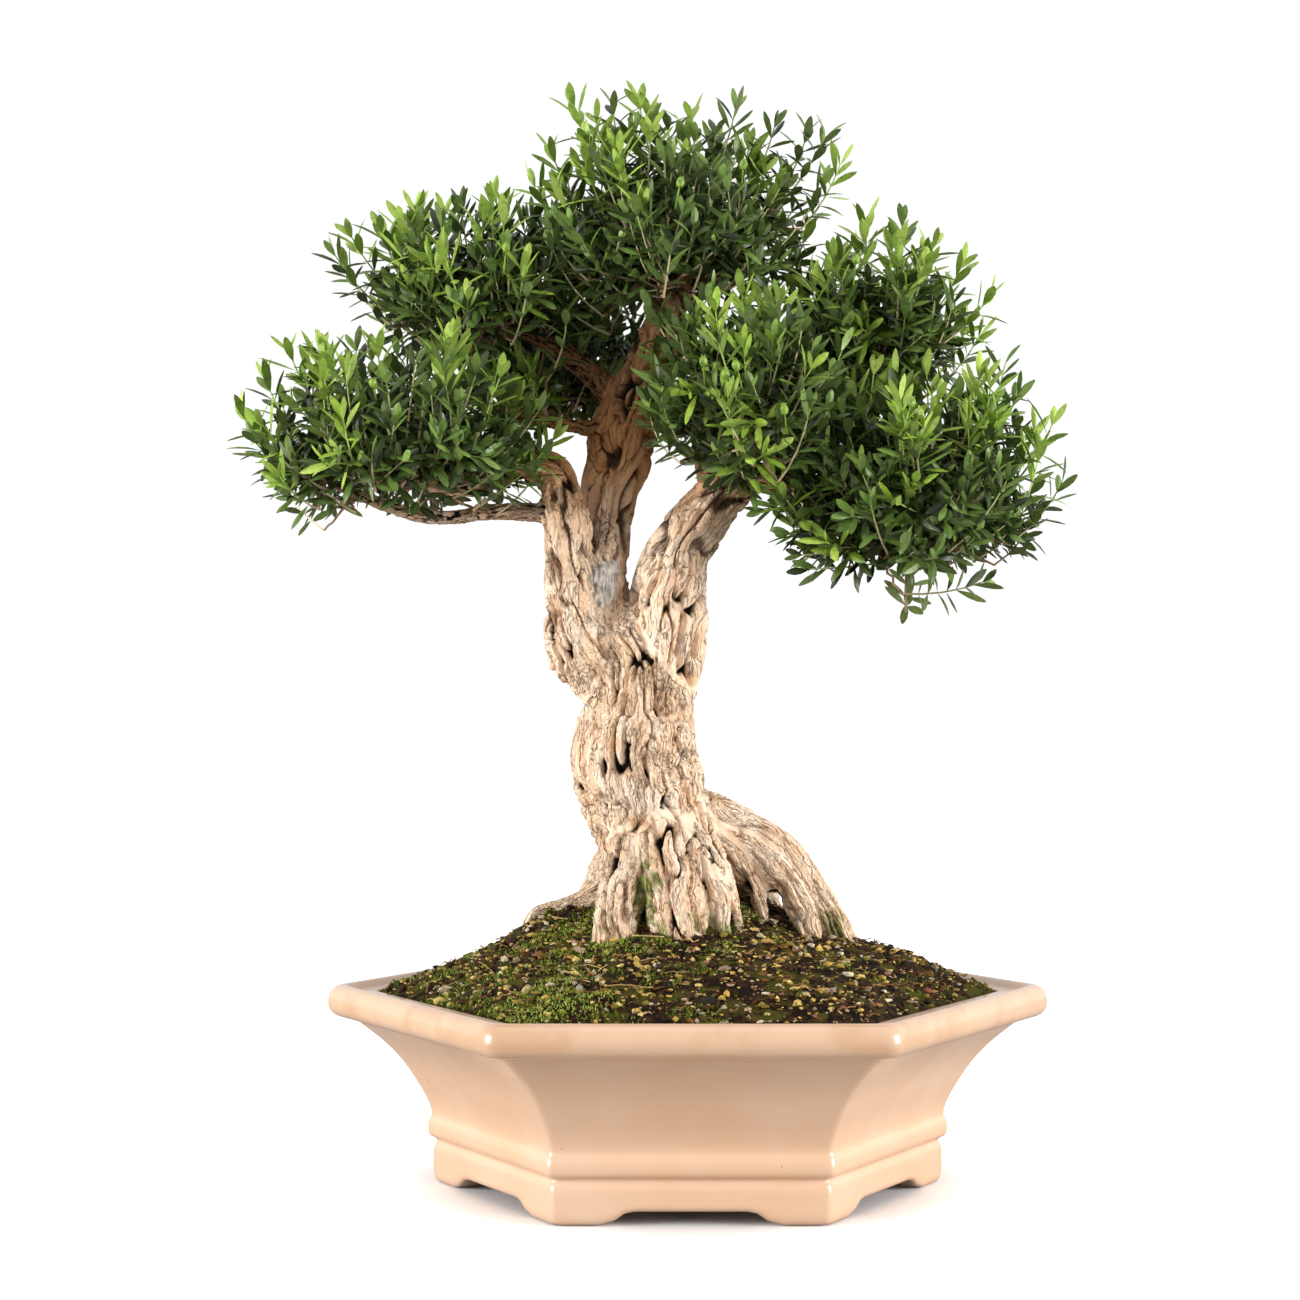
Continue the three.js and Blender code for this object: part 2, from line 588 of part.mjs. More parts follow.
function leafyStem({ path, radii, pairs }, node, quarter) {
  const curve = new THREE.CatmullRomCurve3(path.map(vector), false, "centripetal");
  const length = curve.getLength();
  const frames = curve.computeFrenetFrames(CURVE_PLACES, false);
  const outwardAt = (share, turn) => {
    const place = Math.round(share * CURVE_PLACES);
    const outward = frames.normals[place].clone().multiplyScalar(Math.cos(turn));
    return outward.addScaledVector(frames.binormals[place], Math.sin(turn));
  };
  const ringAt = (share) => {
    return Array.from({ length: STEM_SIDES }, (unused, side) => {
      return curve.getPointAt(share).addScaledVector(outwardAt(share, side * QUARTER), along(radii, share));
    });
  };
  const leafFrame = (foot, share, turn, splay) => {
    const tangent = frames.tangents[Math.round(share * CURVE_PLACES)];
    const heading = tangent.clone().multiplyScalar(Math.cos(splay));
    heading.addScaledVector(outwardAt(share, turn), Math.sin(splay));
    const up = tangent.clone().addScaledVector(heading, -tangent.dot(heading)).normalize();
    return { foot, along: heading, across: new THREE.Vector3().crossVectors(up, heading).normalize(), up };
  };
  const stretches = [];
  for (let pair = pairs - 1; pair >= 0; pair--) {
    const to = 1 - (pair * PAIR_SPACING) / length;
    stretches.push({ to: to - PAIR_HEIGHT / length }, { to, pair });
  }
  let share = 0;
  let ring = ringAt(0);
  const corners = [ring[0], ring[2], ring[1], ring[0], ring[3], ring[2]];
  for (const { to, pair } of stretches) {
    const next = ringAt(to);
    for (let side = 0; side < STEM_SIDES; side++) {
      const beside = (side + 1) % STEM_SIDES;
      const face = [ring[side], ring[beside], next[beside], next[side]];
      const [a, b, c, d] = face;
      const leafy = pair !== undefined && (side + pair + quarter) % 2 === 0;
      const foot = a.clone().add(b).add(c).add(d).multiplyScalar(1 / STEM_SIDES);
      const splay = pair === 0 ? TIP_SPLAY : LOWER_SPLAY;
      const choices = TURN_TRIES.map((extra) => {
        const opened = splay + SPLAY_PER_TURN * Math.abs(extra);
        return leafFrame(foot, share, (side + 0.5) * QUARTER + extra, opened);
      });
      const fitting = leafy && choices.find((frame) => isClear(bladeCapsule(frame, node)));
      if (fitting) {
        taken.push(bladeCapsule(fitting, node));
        corners.push(...bladeFaces(face, fitting));
      } else {
        corners.push(a, b, c, a, c, d);
      }
    }
    share = to;
    ring = next;
  }
  corners.push(ring[0], ring[1], ring[2], ring[0], ring[2], ring[3]);
  return solidOf(new THREE.BufferGeometry().setFromPoints(corners));
}

// Direction of a shoot from the middle of its cushion: a spiral from the top down over the dome.
function shootDirection(cushion, number, lean) {
  const rise = 1 - ((number + 0.5) / cushion.shoots) * (1 + cushion.below);
  const turn = number * GOLDEN_ANGLE + cushion.shoots + lean;
  const level = Math.sqrt(1 - rise * rise);
  return new THREE.Vector3(level * Math.cos(turn), level * Math.sin(turn), rise);
}

const SHOOT_RADII = [2.4, 1.8, 1.2];
const SHOOT_SINK = 12;
const SHOOT_SAG = 0.14;
const TIP_INSET = 17;
const SHORTEST_REACH = 36;
const LONG_REACH = 44;
const LEAN_TRIES = [0, 0.2, -0.2, 0.4, -0.4];
function shootStem(cushion, number, lean) {
  const outward = shootDirection(cushion, number, lean).multiply(vector(cushion.radii));
  const distance = outward.length();
  outward.normalize();
  const tip = vector(cushion.centre).addScaledVector(outward, distance - TIP_INSET);
  const rootDistance = Math.min(cushion.core * distance - SHOOT_SINK, distance - TIP_INSET - SHORTEST_REACH);
  const base = vector(cushion.centre).addScaledVector(outward, rootDistance);
  const reach = tip.distanceTo(base);
  const bend = base.clone().lerp(tip, 0.5);
  bend.z -= SHOOT_SAG * reach;
  const path = [base, bend, tip].map((point) => point.toArray());
  return { path, radii: SHOOT_RADII, pairs: reach > LONG_REACH ? 3 : 2 };
}

// A shoot's first capsules lie in its own cushion's core, so only the later ones need room.
const CAPSULES_IN_CORE = 3;
const SHOOT_SEED = 13;
const SHOOT_SEED_STEP = 977;
function foliage(cushion, node) {
  const solids = [core(cushion, node)];
  const random = seeded(node * SHOOT_SEED_STEP + SHOOT_SEED);
  for (let number = 0; number < cushion.shoots; number++) {
    const stems = LEAN_TRIES.map((lean) => shootStem(cushion, number, lean));
    const stem = stems.find((one) => limbCapsules(one, node).slice(CAPSULES_IN_CORE).every(isClear));
    if (!stem) continue;
    solids.push(leafyStem(stem, node, random() < 0.5 ? 0 : 1));
    taken.push(...limbCapsules(stem, node));
  }
  return joined(solids);
}

// Assembly
const bonsai = new THREE.Group();
bonsai.add(meshOf("pot", pot(), glaze));
for (let number = 0; number < DRAIN_COUNT; number++) {
  bonsai.add(meshOf(`drain_screen_${number + 1}`, screen(number), blackPlastic));
}
bonsai.add(meshOf("soil", soil(), earth));
bonsai.add(meshOf("trunk_and_branches", wood(), bark));

const WOOD = -1;
woodLimbs.forEach((one) => taken.push(...limbCapsules(one, WOOD)));
const woodClearance = wood(TOUCH_GAP);
cushions.forEach((cushion, node) => {
  const grown = foliage(cushion, node).subtract(woodClearance);
  bonsai.add(meshOf(`foliage_${cushion.name}`, largestBody(grown), leafGreen));
});

const box = new THREE.Box3().setFromObject(bonsai);
const boxCentre = box.getCenter(new THREE.Vector3());
bonsai.position.set(-boxCentre.x, -boxCentre.y, -box.min.z);

export default bonsai;
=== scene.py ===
# %% [markdown]
# A boxwood bonsai in a hexagonal glazed pot. The solids of the tree and its pot come from the frame, at their real
# size and place. This lesson dresses them: it puts fissured bark on the wood, thousands of small leaves on the
# cushions, gritty soil with moss in the pot, and a glaze on the pot. Every piece is a mesh made by a short rule.

# %% Load the frame
import math
from itertools import product

import bmesh
import bpy
import numpy as np
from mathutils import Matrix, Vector
from mathutils.bvhtree import BVHTree


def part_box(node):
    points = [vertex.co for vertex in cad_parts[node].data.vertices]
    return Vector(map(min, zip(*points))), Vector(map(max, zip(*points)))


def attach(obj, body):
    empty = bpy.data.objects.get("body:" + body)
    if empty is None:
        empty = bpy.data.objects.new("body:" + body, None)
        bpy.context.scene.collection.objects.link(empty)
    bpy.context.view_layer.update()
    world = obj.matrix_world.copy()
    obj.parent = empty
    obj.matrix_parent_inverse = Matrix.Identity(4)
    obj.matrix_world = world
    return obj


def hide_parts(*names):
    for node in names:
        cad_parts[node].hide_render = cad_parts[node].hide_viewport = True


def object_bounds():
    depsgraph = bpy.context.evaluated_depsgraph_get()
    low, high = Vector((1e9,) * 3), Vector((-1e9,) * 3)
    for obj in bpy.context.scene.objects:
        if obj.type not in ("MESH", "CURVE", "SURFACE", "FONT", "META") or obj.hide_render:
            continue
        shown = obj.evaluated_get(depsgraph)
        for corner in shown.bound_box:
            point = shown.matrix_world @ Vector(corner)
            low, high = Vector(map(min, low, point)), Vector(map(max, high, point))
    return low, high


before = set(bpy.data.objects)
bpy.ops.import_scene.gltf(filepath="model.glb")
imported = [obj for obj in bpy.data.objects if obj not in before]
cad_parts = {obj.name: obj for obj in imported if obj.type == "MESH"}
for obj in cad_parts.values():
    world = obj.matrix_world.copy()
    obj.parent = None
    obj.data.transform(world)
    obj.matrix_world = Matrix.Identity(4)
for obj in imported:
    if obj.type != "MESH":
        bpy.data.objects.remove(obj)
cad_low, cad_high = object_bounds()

scene = bpy.context.scene
print("frame holds", len(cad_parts), "nodes")

# %% [markdown]
# A grower and a potter measure in millimetres, and Blender's unit is the metre. All sizes below are typed in
# millimetres and pass through mm(). Places are measured from the pot's own axis, which the frame's pot gives.

# %% Units and the pot's axis
def mm(*values):
    """Millimetres as Blender's metres: one number, several, or a whole table of them."""
    return np.asarray(values[0] if len(values) == 1 else values) * 0.001


pot_low, pot_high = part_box("pot")
POT = np.array([(pot_low.x + pot_high.x) / 2, (pot_low.y + pot_high.y) / 2, pot_low.z])
UP = np.array([0.0, 0.0, 1.0])
print("pot axis at x", round(POT[0] * 1000, 2), "mm")

# %% [markdown]
# The camera comes first, so that every later step can be judged from the photographer's place. The lens is given by
# how many pixels one radian would cover. The horizon lies a little below the picture's middle, so the camera
# looks up by a fraction of a degree. Its place was worked out from the pot's rim and its feet.

# %% Camera
IMAGE_SIDE = 1300
FOCAL_PIXELS = 2611
HORIZON_ROW = 684
SENSOR = 36
CAMERA_PLACE = mm(-27, -1880, 357)

camera_data = bpy.data.cameras.new("photographer")
camera_data.sensor_width = SENSOR
camera_data.lens = SENSOR * FOCAL_PIXELS / IMAGE_SIDE
camera = bpy.data.objects.new("photographer", camera_data)
camera.location = Vector(POT + CAMERA_PLACE)
tilt = math.atan((HORIZON_ROW - IMAGE_SIDE / 2) / FOCAL_PIXELS)
camera.rotation_euler = (math.pi / 2 + tilt, 0, 0)
scene.collection.objects.link(camera)
scene.camera = camera
print("lens", round(camera_data.lens, 1), "mm, tilt", round(math.degrees(tilt), 2), "degrees")

# %% [markdown]
# Meshes here are built from arrays of points and triangles. Building a mesh this way is much quicker than using
# operators, and thousands of leaves need that. Numbers that a material reads, such as a leaf's age, are kept on
# the points as named attributes.

# %% Mesh helpers
def keep_numbers(mesh, numbers):
    """Puts named numbers on a mesh's points."""
    for key, values in numbers.items():
        mesh.attributes.new(key, "FLOAT", "POINT").data.foreach_set("value", np.asarray(values, np.float32))


def mesh_object(name, points, faces, numbers=None, smooth=True):
    """A new object from points and faces, with its named numbers on the points."""
    mesh = bpy.data.meshes.new(name)
    mesh.from_pydata(np.asarray(points).tolist(), [], np.asarray(faces).tolist())
    keep_numbers(mesh, numbers or {})
    if smooth:
        mesh.shade_smooth()
    made = bpy.data.objects.new(name, mesh)
    scene.collection.objects.link(made)
    return made


def on_points(mesh, key):
    """What a mesh has on its points as an array: their places by "co", or their directions by "normal"."""
    flat = np.zeros(len(mesh.vertices) * 3, np.float32)
    mesh.vertices.foreach_get(key, flat)
    return flat.reshape(-1, 3).astype(float)


def settle(obj):
    """Replaces an object's mesh by what its modifiers make of it."""
    graph = bpy.context.evaluated_depsgraph_get()
    made = bpy.data.meshes.new_from_object(obj.evaluated_get(graph))
    obj.modifiers.clear()
    obj.data = made


def triangles(obj):
    """How many triangles an object has."""
    return sum(len(face.vertices) - 2 for face in obj.data.polygons)


def unit(vectors):
    """Vectors of length 1."""
    return vectors / np.maximum(np.linalg.norm(vectors, axis=-1, keepdims=True), 1e-9)


print("the direction of (3, 4, 0) is", unit(np.array([3.0, 4.0, 0.0])).round(3).tolist())

# %% [markdown]
# Bark, soil and stones need noise that gives the same result each run. Two kinds are enough. Soft noise rises and
# falls smoothly. Cell noise cuts space into cells round scattered points, and the borders between cells make
# the fissures between plates of bark.

# %% Noise
def smooth_step(low, high, value):
    """0 below low, 1 above high, and a smooth rise between them."""
    share = np.clip((value - low) / (high - low), 0, 1)
    return share * share * (3 - 2 * share)


def cell_number(cells, seed):
    """A repeatable number from 0 to 1 for each whole-number cell."""
    mixed = cells[..., 0] * 73856093 ^ cells[..., 1] * 19349663 ^ cells[..., 2] * 83492791 ^ seed * 26544357
    mixed = (mixed ^ (mixed >> 13)) * 1274126177 & 0xFFFFFFFF
    mixed = (mixed ^ (mixed >> 15)) * 668265263 & 0xFFFFFFFF
    return ((mixed ^ (mixed >> 16)) & 0xFFFFFF) / 0xFFFFFF


def soft_noise(points, seed):
    """Smooth noise from -1 to 1 whose bumps are one unit wide."""
    base = np.floor(points).astype(np.int64)
    part = points - base
    part = part * part * (3 - 2 * part)
    total = np.zeros(len(points))
    for corner in product((0, 1), repeat=3):
        weight = np.prod(np.where(corner, part, 1 - part), axis=1)
        total += weight * cell_number(base + corner, seed)
    return total * 2 - 1


def cell_noise(points, seed):
    """How far each point is from the border of its cell, and a number of the cell's own."""
    base = np.floor(points).astype(np.int64)
    nearest = np.full(len(points), 9.0)
    second = np.full(len(points), 9.0)
    owner = np.zeros(len(points))
    for offset in product((-1, 0, 1), repeat=3):
        cell = base + offset
        place = cell + np.stack([cell_number(cell, seed + axis) for axis in range(3)], axis=1)
        gap = np.linalg.norm(points - place, axis=1)
        closer = gap < nearest
        second = np.where(closer, nearest, np.minimum(second, gap))
        owner = np.where(closer, cell_number(cell, seed + 3), owner)
        nearest = np.where(closer, gap, nearest)
    return second - nearest, owner


noise_line = np.linspace(0, 3, 6)[:, None] * [0.7, 0.4, 0.2]
print("soft noise along a line:", soft_noise(noise_line, 1).round(2).tolist())

# %% [markdown]
# The wood grew as limbs: a trunk, three heavy limbs above the fork, arching roots and thinner branches. Each is a
# list of places along its middle, measured from the pot's axis, and of its radius there. `coarse` makes the bark of
# a limb coarser. The next cell draws a smooth curve through the places, with a cross-section that travels along it.

# %% Limbs of the tree
HEAVY_LIMBS = [
    dict(path=[(-16, 2, 206), (-22, 2, 237), (-29, 2, 272), (-36, 2, 306), (-34, 2, 330), (-33, 2, 352),
               (-37, 3, 374), (-47, 6, 396), (-54, 10, 418)],
         radii=[37, 41, 47, 53, 50, 43, 41, 35, 12], sides=18, steps=14, ridge=0.16, seed=3, flat=0.88),
    dict(path=[(-48, 0, 318), (-58, -4, 352), (-76, -8, 395), (-83, -12, 436), (-88, -14, 480), (-97, -16, 507),
               (-120, -19, 513), (-146, -23, 505), (-175, -28, 497), (-205, -32, 500)],
         radii=[13, 18, 27, 21, 17, 16, 12, 9, 7, 5], sides=9, steps=14, ridge=0.2, seed=5, coarse=1.15),
    dict(path=[(-44, 8, 325), (-50, 12, 362), (-56, 16, 405), (-60, 20, 450), (-56, 24, 490), (-48, 25, 520),
               (-42, 24, 548), (-32, 22, 575), (-20, 18, 605), (-8, 12, 640), (-2, 8, 676)],
         radii=[15, 25, 22, 19, 20, 24, 26, 22, 15, 11, 7], sides=11, steps=14, ridge=0.26, seed=7, coarse=1.9),
    dict(path=[(-30, 0, 318), (-22, -3, 352), (-16, -6, 393), (-13, -8, 430), (-6, -9, 454), (9, -9, 474),
               (27, -9, 495), (44, -9, 509)],
         radii=[14, 27, 30, 29, 26, 22, 19, 15], sides=11, steps=11, ridge=0.2, seed=11, coarse=1.3),
    dict(path=[(-63, 0, 392), (-60, -6, 412), (-59, -8, 432), (-57, -5, 452), (-56, 0, 466)],
         radii=[8, 13, 15.5, 13, 6], sides=9, steps=4, ridge=0.1, seed=13),
    dict(path=[(-70, -10, 326), (-62, -22, 304), (-42, -32, 284), (-16, -33, 263), (5, -34, 245), (20, -42, 222)],
         radii=[5, 9, 11, 12, 11, 9], sides=8, steps=6, ridge=0.14, seed=17),
]
ROOTS = [
    ([(-36, -4, 300), (-37, -18, 262), (-42, -34, 226), (-50, -50, 196), (-55, -60, 164)], [13, 20, 19, 17, 14]),
    ([(-28, -6, 306), (-20, -18, 268), (-14, -38, 232), (-8, -54, 200), (-3, -64, 162)], [15, 23, 24, 21, 19]),
    ([(-12, -4, 298), (-3, -14, 262), (10, -30, 228), (20, -44, 200), (28, -52, 164)], [14, 20, 18, 15, 12]),
    ([(-24, 8, 274), (20, 12, 259), (47, 11, 247), (69, 9, 232), (86, 5, 210), (101, 1, 189), (114, -3, 162)],
     [20, 19, 17, 15, 13, 13, 12]),
    ([(-4, 6, 254), (28, -2, 238), (46, -10, 214), (56, -16, 190), (60, -18, 164)], [15, 12, 10, 8, 7]),
    ([(6, 8, 256), (44, 0, 238), (66, -10, 216), (82, -18, 192), (90, -22, 164)], [13, 12, 11, 10, 8]),
    ([(-34, 10, 238), (-54, 16, 212), (-72, 20, 201), (-91, 24, 194), (-108, 25, 189), (-119, 24, 168)],
     [18, 12, 9, 7, 6.5, 6]),
    ([(-40, 16, 252), (-58, 48, 218), (-70, 74, 194), (-78, 90, 162)], [19, 15, 12, 11]),
    ([(-16, 18, 262), (-6, 52, 226), (2, 78, 196), (8, 94, 162)], [21, 17, 13, 12]),
    ([(4, 14, 260), (34, 42, 226), (54, 64, 198), (66, 78, 162)], [18, 14, 11, 10]),
    ([(6, 20, 246), (34, 36, 216), (54, 42, 196), (66, 46, 165)], [17, 17, 15, 12]),
]
BRANCHES = [
    [(-146, -23, 503), (-175, -30, 500), (-205, -36, 506), (-232, -38, 514)],
    [(-42, 24, 556), (-72, 28, 586), (-108, 30, 610), (-152, 30, 628)],
    [(-22, 18, 600), (-8, 12, 640), (-3, 8, 668), (-2, 5, 690)],
    [(26, -9, 496), (50, 0, 536), (88, 12, 568), (136, 20, 624)],
    [(36, -9, 506), (74, -14, 500), (112, -20, 478), (144, -25, 452), (164, -28, 440)],
    [(20, -8, 486), (12, -20, 518), (20, -40, 548), (36, -56, 562)],
    [(-44, 24, 540), (-56, 54, 562), (-76, 84, 580), (-96, 104, 590)],
    [(-36, 22, 564), (-8, 56, 568), (36, 86, 574), (76, 108, 578)],
]
BRANCH_RADII = [12, 8, 6, 4.5]
THIN_BRANCHES = [
    ([(-88, -12, 478), (-135, -15, 480), (-176, -22, 475), (-216, -30, 484), (-258, -36, 502)], [8, 6, 5.5, 4.5, 3]),
    ([(-50, 20, 544), (-76, 8, 543), (-102, -6, 546), (-136, -20, 552)], [9, 6, 5, 3]),
    ([(-10, 12, 634), (-36, 8, 655), (-53, 4, 680), (-60, 2, 702)], [9, 6, 5, 3]),
]


def limb_group(rows, sides, steps, ridge, first_seed):
    """Limbs of one kind, which share their number of strands and knots and the height of their ridges."""
    return [dict(path=path, radii=radii, sides=sides, steps=steps, ridge=ridge, seed=first_seed + n)
            for n, (path, radii) in enumerate(rows)]


limbs = [
    *HEAVY_LIMBS,
    *limb_group(ROOTS, 6, 5, 0.14, 20),
    *limb_group([(path, BRANCH_RADII) for path in BRANCHES], 6, 4, 0.16, 50),
    *limb_group(THIN_BRANCHES, 5, 5, 0.16, 70),
]
print(len(limbs), "limbs")

# %% [markdown]
# A limb bends without kinks. The curve through its places is one that never loops or overshoots between them, also
# where they lie unevenly far apart. A frame of three directions is carried along it and never turns on the spot, so
# that the strands on the wood run true.

# %% A smooth curve with a cross-section that doesn't twist
RING_SPACING = mm(2.5)
CURVE_SAMPLES = 24


def smooth_curve(places, spacing):
    """Evenly spaced points on a smooth curve through the places, and the curve's length."""
    ends = np.vstack([2 * places[0] - places[1], places, 2 * places[-1] - places[-2]])
    dense = []
    for p0, p1, p2, p3 in zip(ends, ends[1:], ends[2:], ends[3:]):
        t0, t1, t2, t3 = np.cumsum([0] + [np.linalg.norm(b - a) ** 0.5 for a, b in ((p0, p1), (p1, p2), (p2, p3))])
        t = np.linspace(t1, t2, CURVE_SAMPLES, endpoint=False)[:, None]
        a = (t1 - t) / (t1 - t0) * p0 + (t - t0) / (t1 - t0) * p1
        b = (t2 - t) / (t2 - t1) * p1 + (t - t1) / (t2 - t1) * p2
        c = (t3 - t) / (t3 - t2) * p2 + (t - t2) / (t3 - t2) * p3
        ab = (t2 - t) / (t2 - t0) * a + (t - t0) / (t2 - t0) * b
        bc = (t3 - t) / (t3 - t1) * b + (t - t1) / (t3 - t1) * c
        dense.append((t2 - t) / (t2 - t1) * ab + (t - t1) / (t2 - t1) * bc)
    dense = np.vstack([*dense, places[-1:]])
    walked = np.concatenate([[0], np.cumsum(np.linalg.norm(np.diff(dense, axis=0), axis=1))])
    wanted = np.linspace(0, walked[-1], max(4, round(walked[-1] / spacing)))
    return np.stack([np.interp(wanted, walked, dense[:, axis]) for axis in range(3)], axis=1), walked[-1]


def travelling_frames(points):
    """Tangent, normal and binormal at each point, carried along the curve without a twist."""
    tangents = unit(np.gradient(points, axis=0))
    start = np.eye(3)[np.argmin(np.abs(tangents[0]))]
    normals = [unit(np.cross(tangents[0], unit(np.cross(tangents[0], start))))]
    for tangent in tangents[1:]:
        normals.append(unit(normals[-1] - tangent * (normals[-1] @ tangent)))
    normals = np.array(normals)
    return tangents, normals, np.cross(tangents, normals)


for limb in limbs:
    limb["centres"], limb["length"] = smooth_curve(mm(limb["path"]) + POT, RING_SPACING)
    limb["tangents"], limb["normals"], limb["binormals"] = travelling_frames(limb["centres"])
    share = np.linspace(0, 1, len(limb["centres"]))
    limb["radius"] = mm(np.interp(share, np.linspace(0, 1, len(limb["radii"])), limb["radii"]))
    limb["along"] = share * limb["length"]
print("wood has", round(sum(limb["length"] for limb in limbs), 2), "m of limbs")

# %% [markdown]
# A limb's cross-section isn't round: old boxwood has strands of muscle that run up it. Their heights are drawn
# once for each strand and once for each knot on it, and a smooth blend between them rounds the strands.

# %% Strands of a limb
STRAND_HEIGHT, KNOT_HEIGHT = 1.3, 0.7
SEED_STEP = 7919


def random_from(seed):
    """The draws that set a limb's ridges. The same seed gives the same ridges."""
    state = seed
    while True:
        state = (state * 1664525 + 1013904223) % 2**32
        yield state / 2**32 - 0.5


def strands(limb, shares, turns):
    """Relief of the strands, for each share of the length and each turn round the limb."""
    draws = random_from(limb["seed"] * SEED_STEP)
    sides, steps = limb["sides"], limb["steps"]
    columns = np.array([next(draws) for _ in range(sides)])
    knots = np.array([next(draws) for _ in range((steps + 1) * sides)]).reshape(steps + 1, sides)
    side = turns * sides
    left = np.floor(side).astype(int) % sides
    right = (left + 1) % sides
    blend = smooth_step(0, 1, side % 1)
    step = np.clip(shares * steps, 0, steps - 1e-6)
    low = np.floor(step).astype(int)
    rise = smooth_step(0, 1, step % 1)[:, None]
    rows = knots[low] * (1 - rise) + knots[low + 1] * rise
    column = columns[left] * (1 - blend) + columns[right] * blend
    knot = rows[:, left] * (1 - blend) + rows[:, right] * blend
    return 1 + limb["ridge"] * (STRAND_HEIGHT * column + KNOT_HEIGHT * knot)


trunk_strands = strands(limbs[0], np.linspace(0, 1, 50), np.linspace(0, 1, 50))
print("strands of the trunk change its radius by", round(trunk_strands.min(), 2), "to", round(trunk_strands.max(), 2))

# %% [markdown]
# The skin of a limb is a closed tube, ring by ring, whose radius follows the strands. Thick limbs get finer rings.

# %% Skin of a limb
THICK_LIMB_STRANDS, THICK_LIMB_POINTS, THIN_LIMB_POINTS = 9, 40, 20


def between_rings(rings, count):
    """Triangles between rings of points that follow one another."""
    ring, side = np.meshgrid(np.arange(rings - 1), np.arange(count), indexing="ij")
    a = (ring * count + side).ravel()
    b = (ring * count + (side + 1) % count).ravel()
    return np.concatenate([np.stack([a, b, b + count], 1), np.stack([a, b + count, a + count], 1)])


def closed_tube(points):
    """Points and triangles of a tube that is given ring by ring, closed at both ends."""
    rings, count = points.shape[:2]
    fan = np.arange(1, count - 1)
    start = np.stack([np.zeros_like(fan), fan + 1, fan], 1)
    end = np.stack([np.zeros_like(fan), fan, fan + 1], 1) + (rings - 1) * count
    return points.reshape(-1, 3), np.concatenate([between_rings(rings, count), start, end])


def merge(parts):
    """Several sets of points and triangles as one."""
    offsets = np.cumsum([0] + [len(points) for points, _ in parts[:-1]])
    faces = [triangle + offset for (_, triangle), offset in zip(parts, offsets)]
    return np.concatenate([points for points, _ in parts]), np.concatenate(faces)


def limb_skin(limb):
    """A closed tube along a limb, as points and triangles."""
    count = THICK_LIMB_POINTS if limb["sides"] >= THICK_LIMB_STRANDS else THIN_LIMB_POINTS
    turns = np.arange(count) / count
    rings = len(limb["centres"])
    radius = limb["radius"][:, None] * strands(limb, np.linspace(0, 1, rings), turns)
    angle = turns * 2 * math.pi
    points = limb["centres"][:, None] + (radius * np.cos(angle))[..., None] * limb["normals"][:, None]
    points = points - (radius * np.sin(angle) * limb.get("flat", 1))[..., None] * limb["binormals"][:, None]
    return closed_tube(points)


limb_skins = [limb_skin(limb) for limb in limbs]
print("the limbs' skins have", sum(len(points) for points, _ in limb_skins), "points")

# %% [markdown]
# The skins are fused to one piece of wood by a voxel remesh. It is the surest way to join tubes that cross at shallow
# angles. The smoothing after it takes away its small steps and rounds the joins, as bark grows over a fork.

# %% Fuse the limbs
VOXEL = mm(1.15)
ROUNDING_PASSES = 13

wood = mesh_object("bark", *merge(limb_skins))
fuse = wood.modifiers.new("fuse", "REMESH")
fuse.mode = "VOXEL"
fuse.voxel_size = VOXEL
rounding = wood.modifiers.new("rounding", "SMOOTH")
rounding.iterations = ROUNDING_PASSES
settle(wood)
print("fused wood has", len(wood.data.vertices), "points")

# %% [markdown]
# Bark grain follows the limb that it grows on, through the fork and down each root. So each point is first told
# how far along its limb it lies and where across it.

# %% Where each point of bark lies on its limb
LIMB_REACH = mm(11)
RIDGE_ROOM = 1.3
AT_ONCE = 20000


def places_on(limb, points):
    """Which points are near a limb, their places across and along it, and their height over its skin."""
    room = limb["radius"].max() * RIDGE_ROOM + LIMB_REACH
    low, high = limb["centres"].min(0) - room, limb["centres"].max(0) + room
    near = np.flatnonzero(np.all((points > low) & (points < high), axis=1))
    nearest = np.zeros(len(near), int)
    for start in range(0, len(near), AT_ONCE):
        some = points[near[start:start + AT_ONCE]]
        apart = (some**2).sum(1)[:, None] - 2 * some @ limb["centres"].T + (limb["centres"]**2).sum(1)
        nearest[start:start + AT_ONCE] = np.argmin(apart, axis=1)
    away = points[near] - limb["centres"][nearest]
    slide = np.einsum("ij,ij->i", away, limb["tangents"][nearest])
    across = np.einsum("ij,ij->i", away, limb["normals"][nearest])
    beside = np.einsum("ij,ij->i", away, limb["binormals"][nearest])
    over = np.linalg.norm(away, axis=1) - limb["radius"][nearest]
    kept = over < LIMB_REACH
    local = np.stack([across, beside, limb["along"][nearest] + slide], axis=1)
    return near[kept], local[kept], over[kept]


bark_points = on_points(wood.data, "co")
print(len(places_on(limbs[0], bark_points)[0]), "of", len(bark_points), "points are near the trunk")
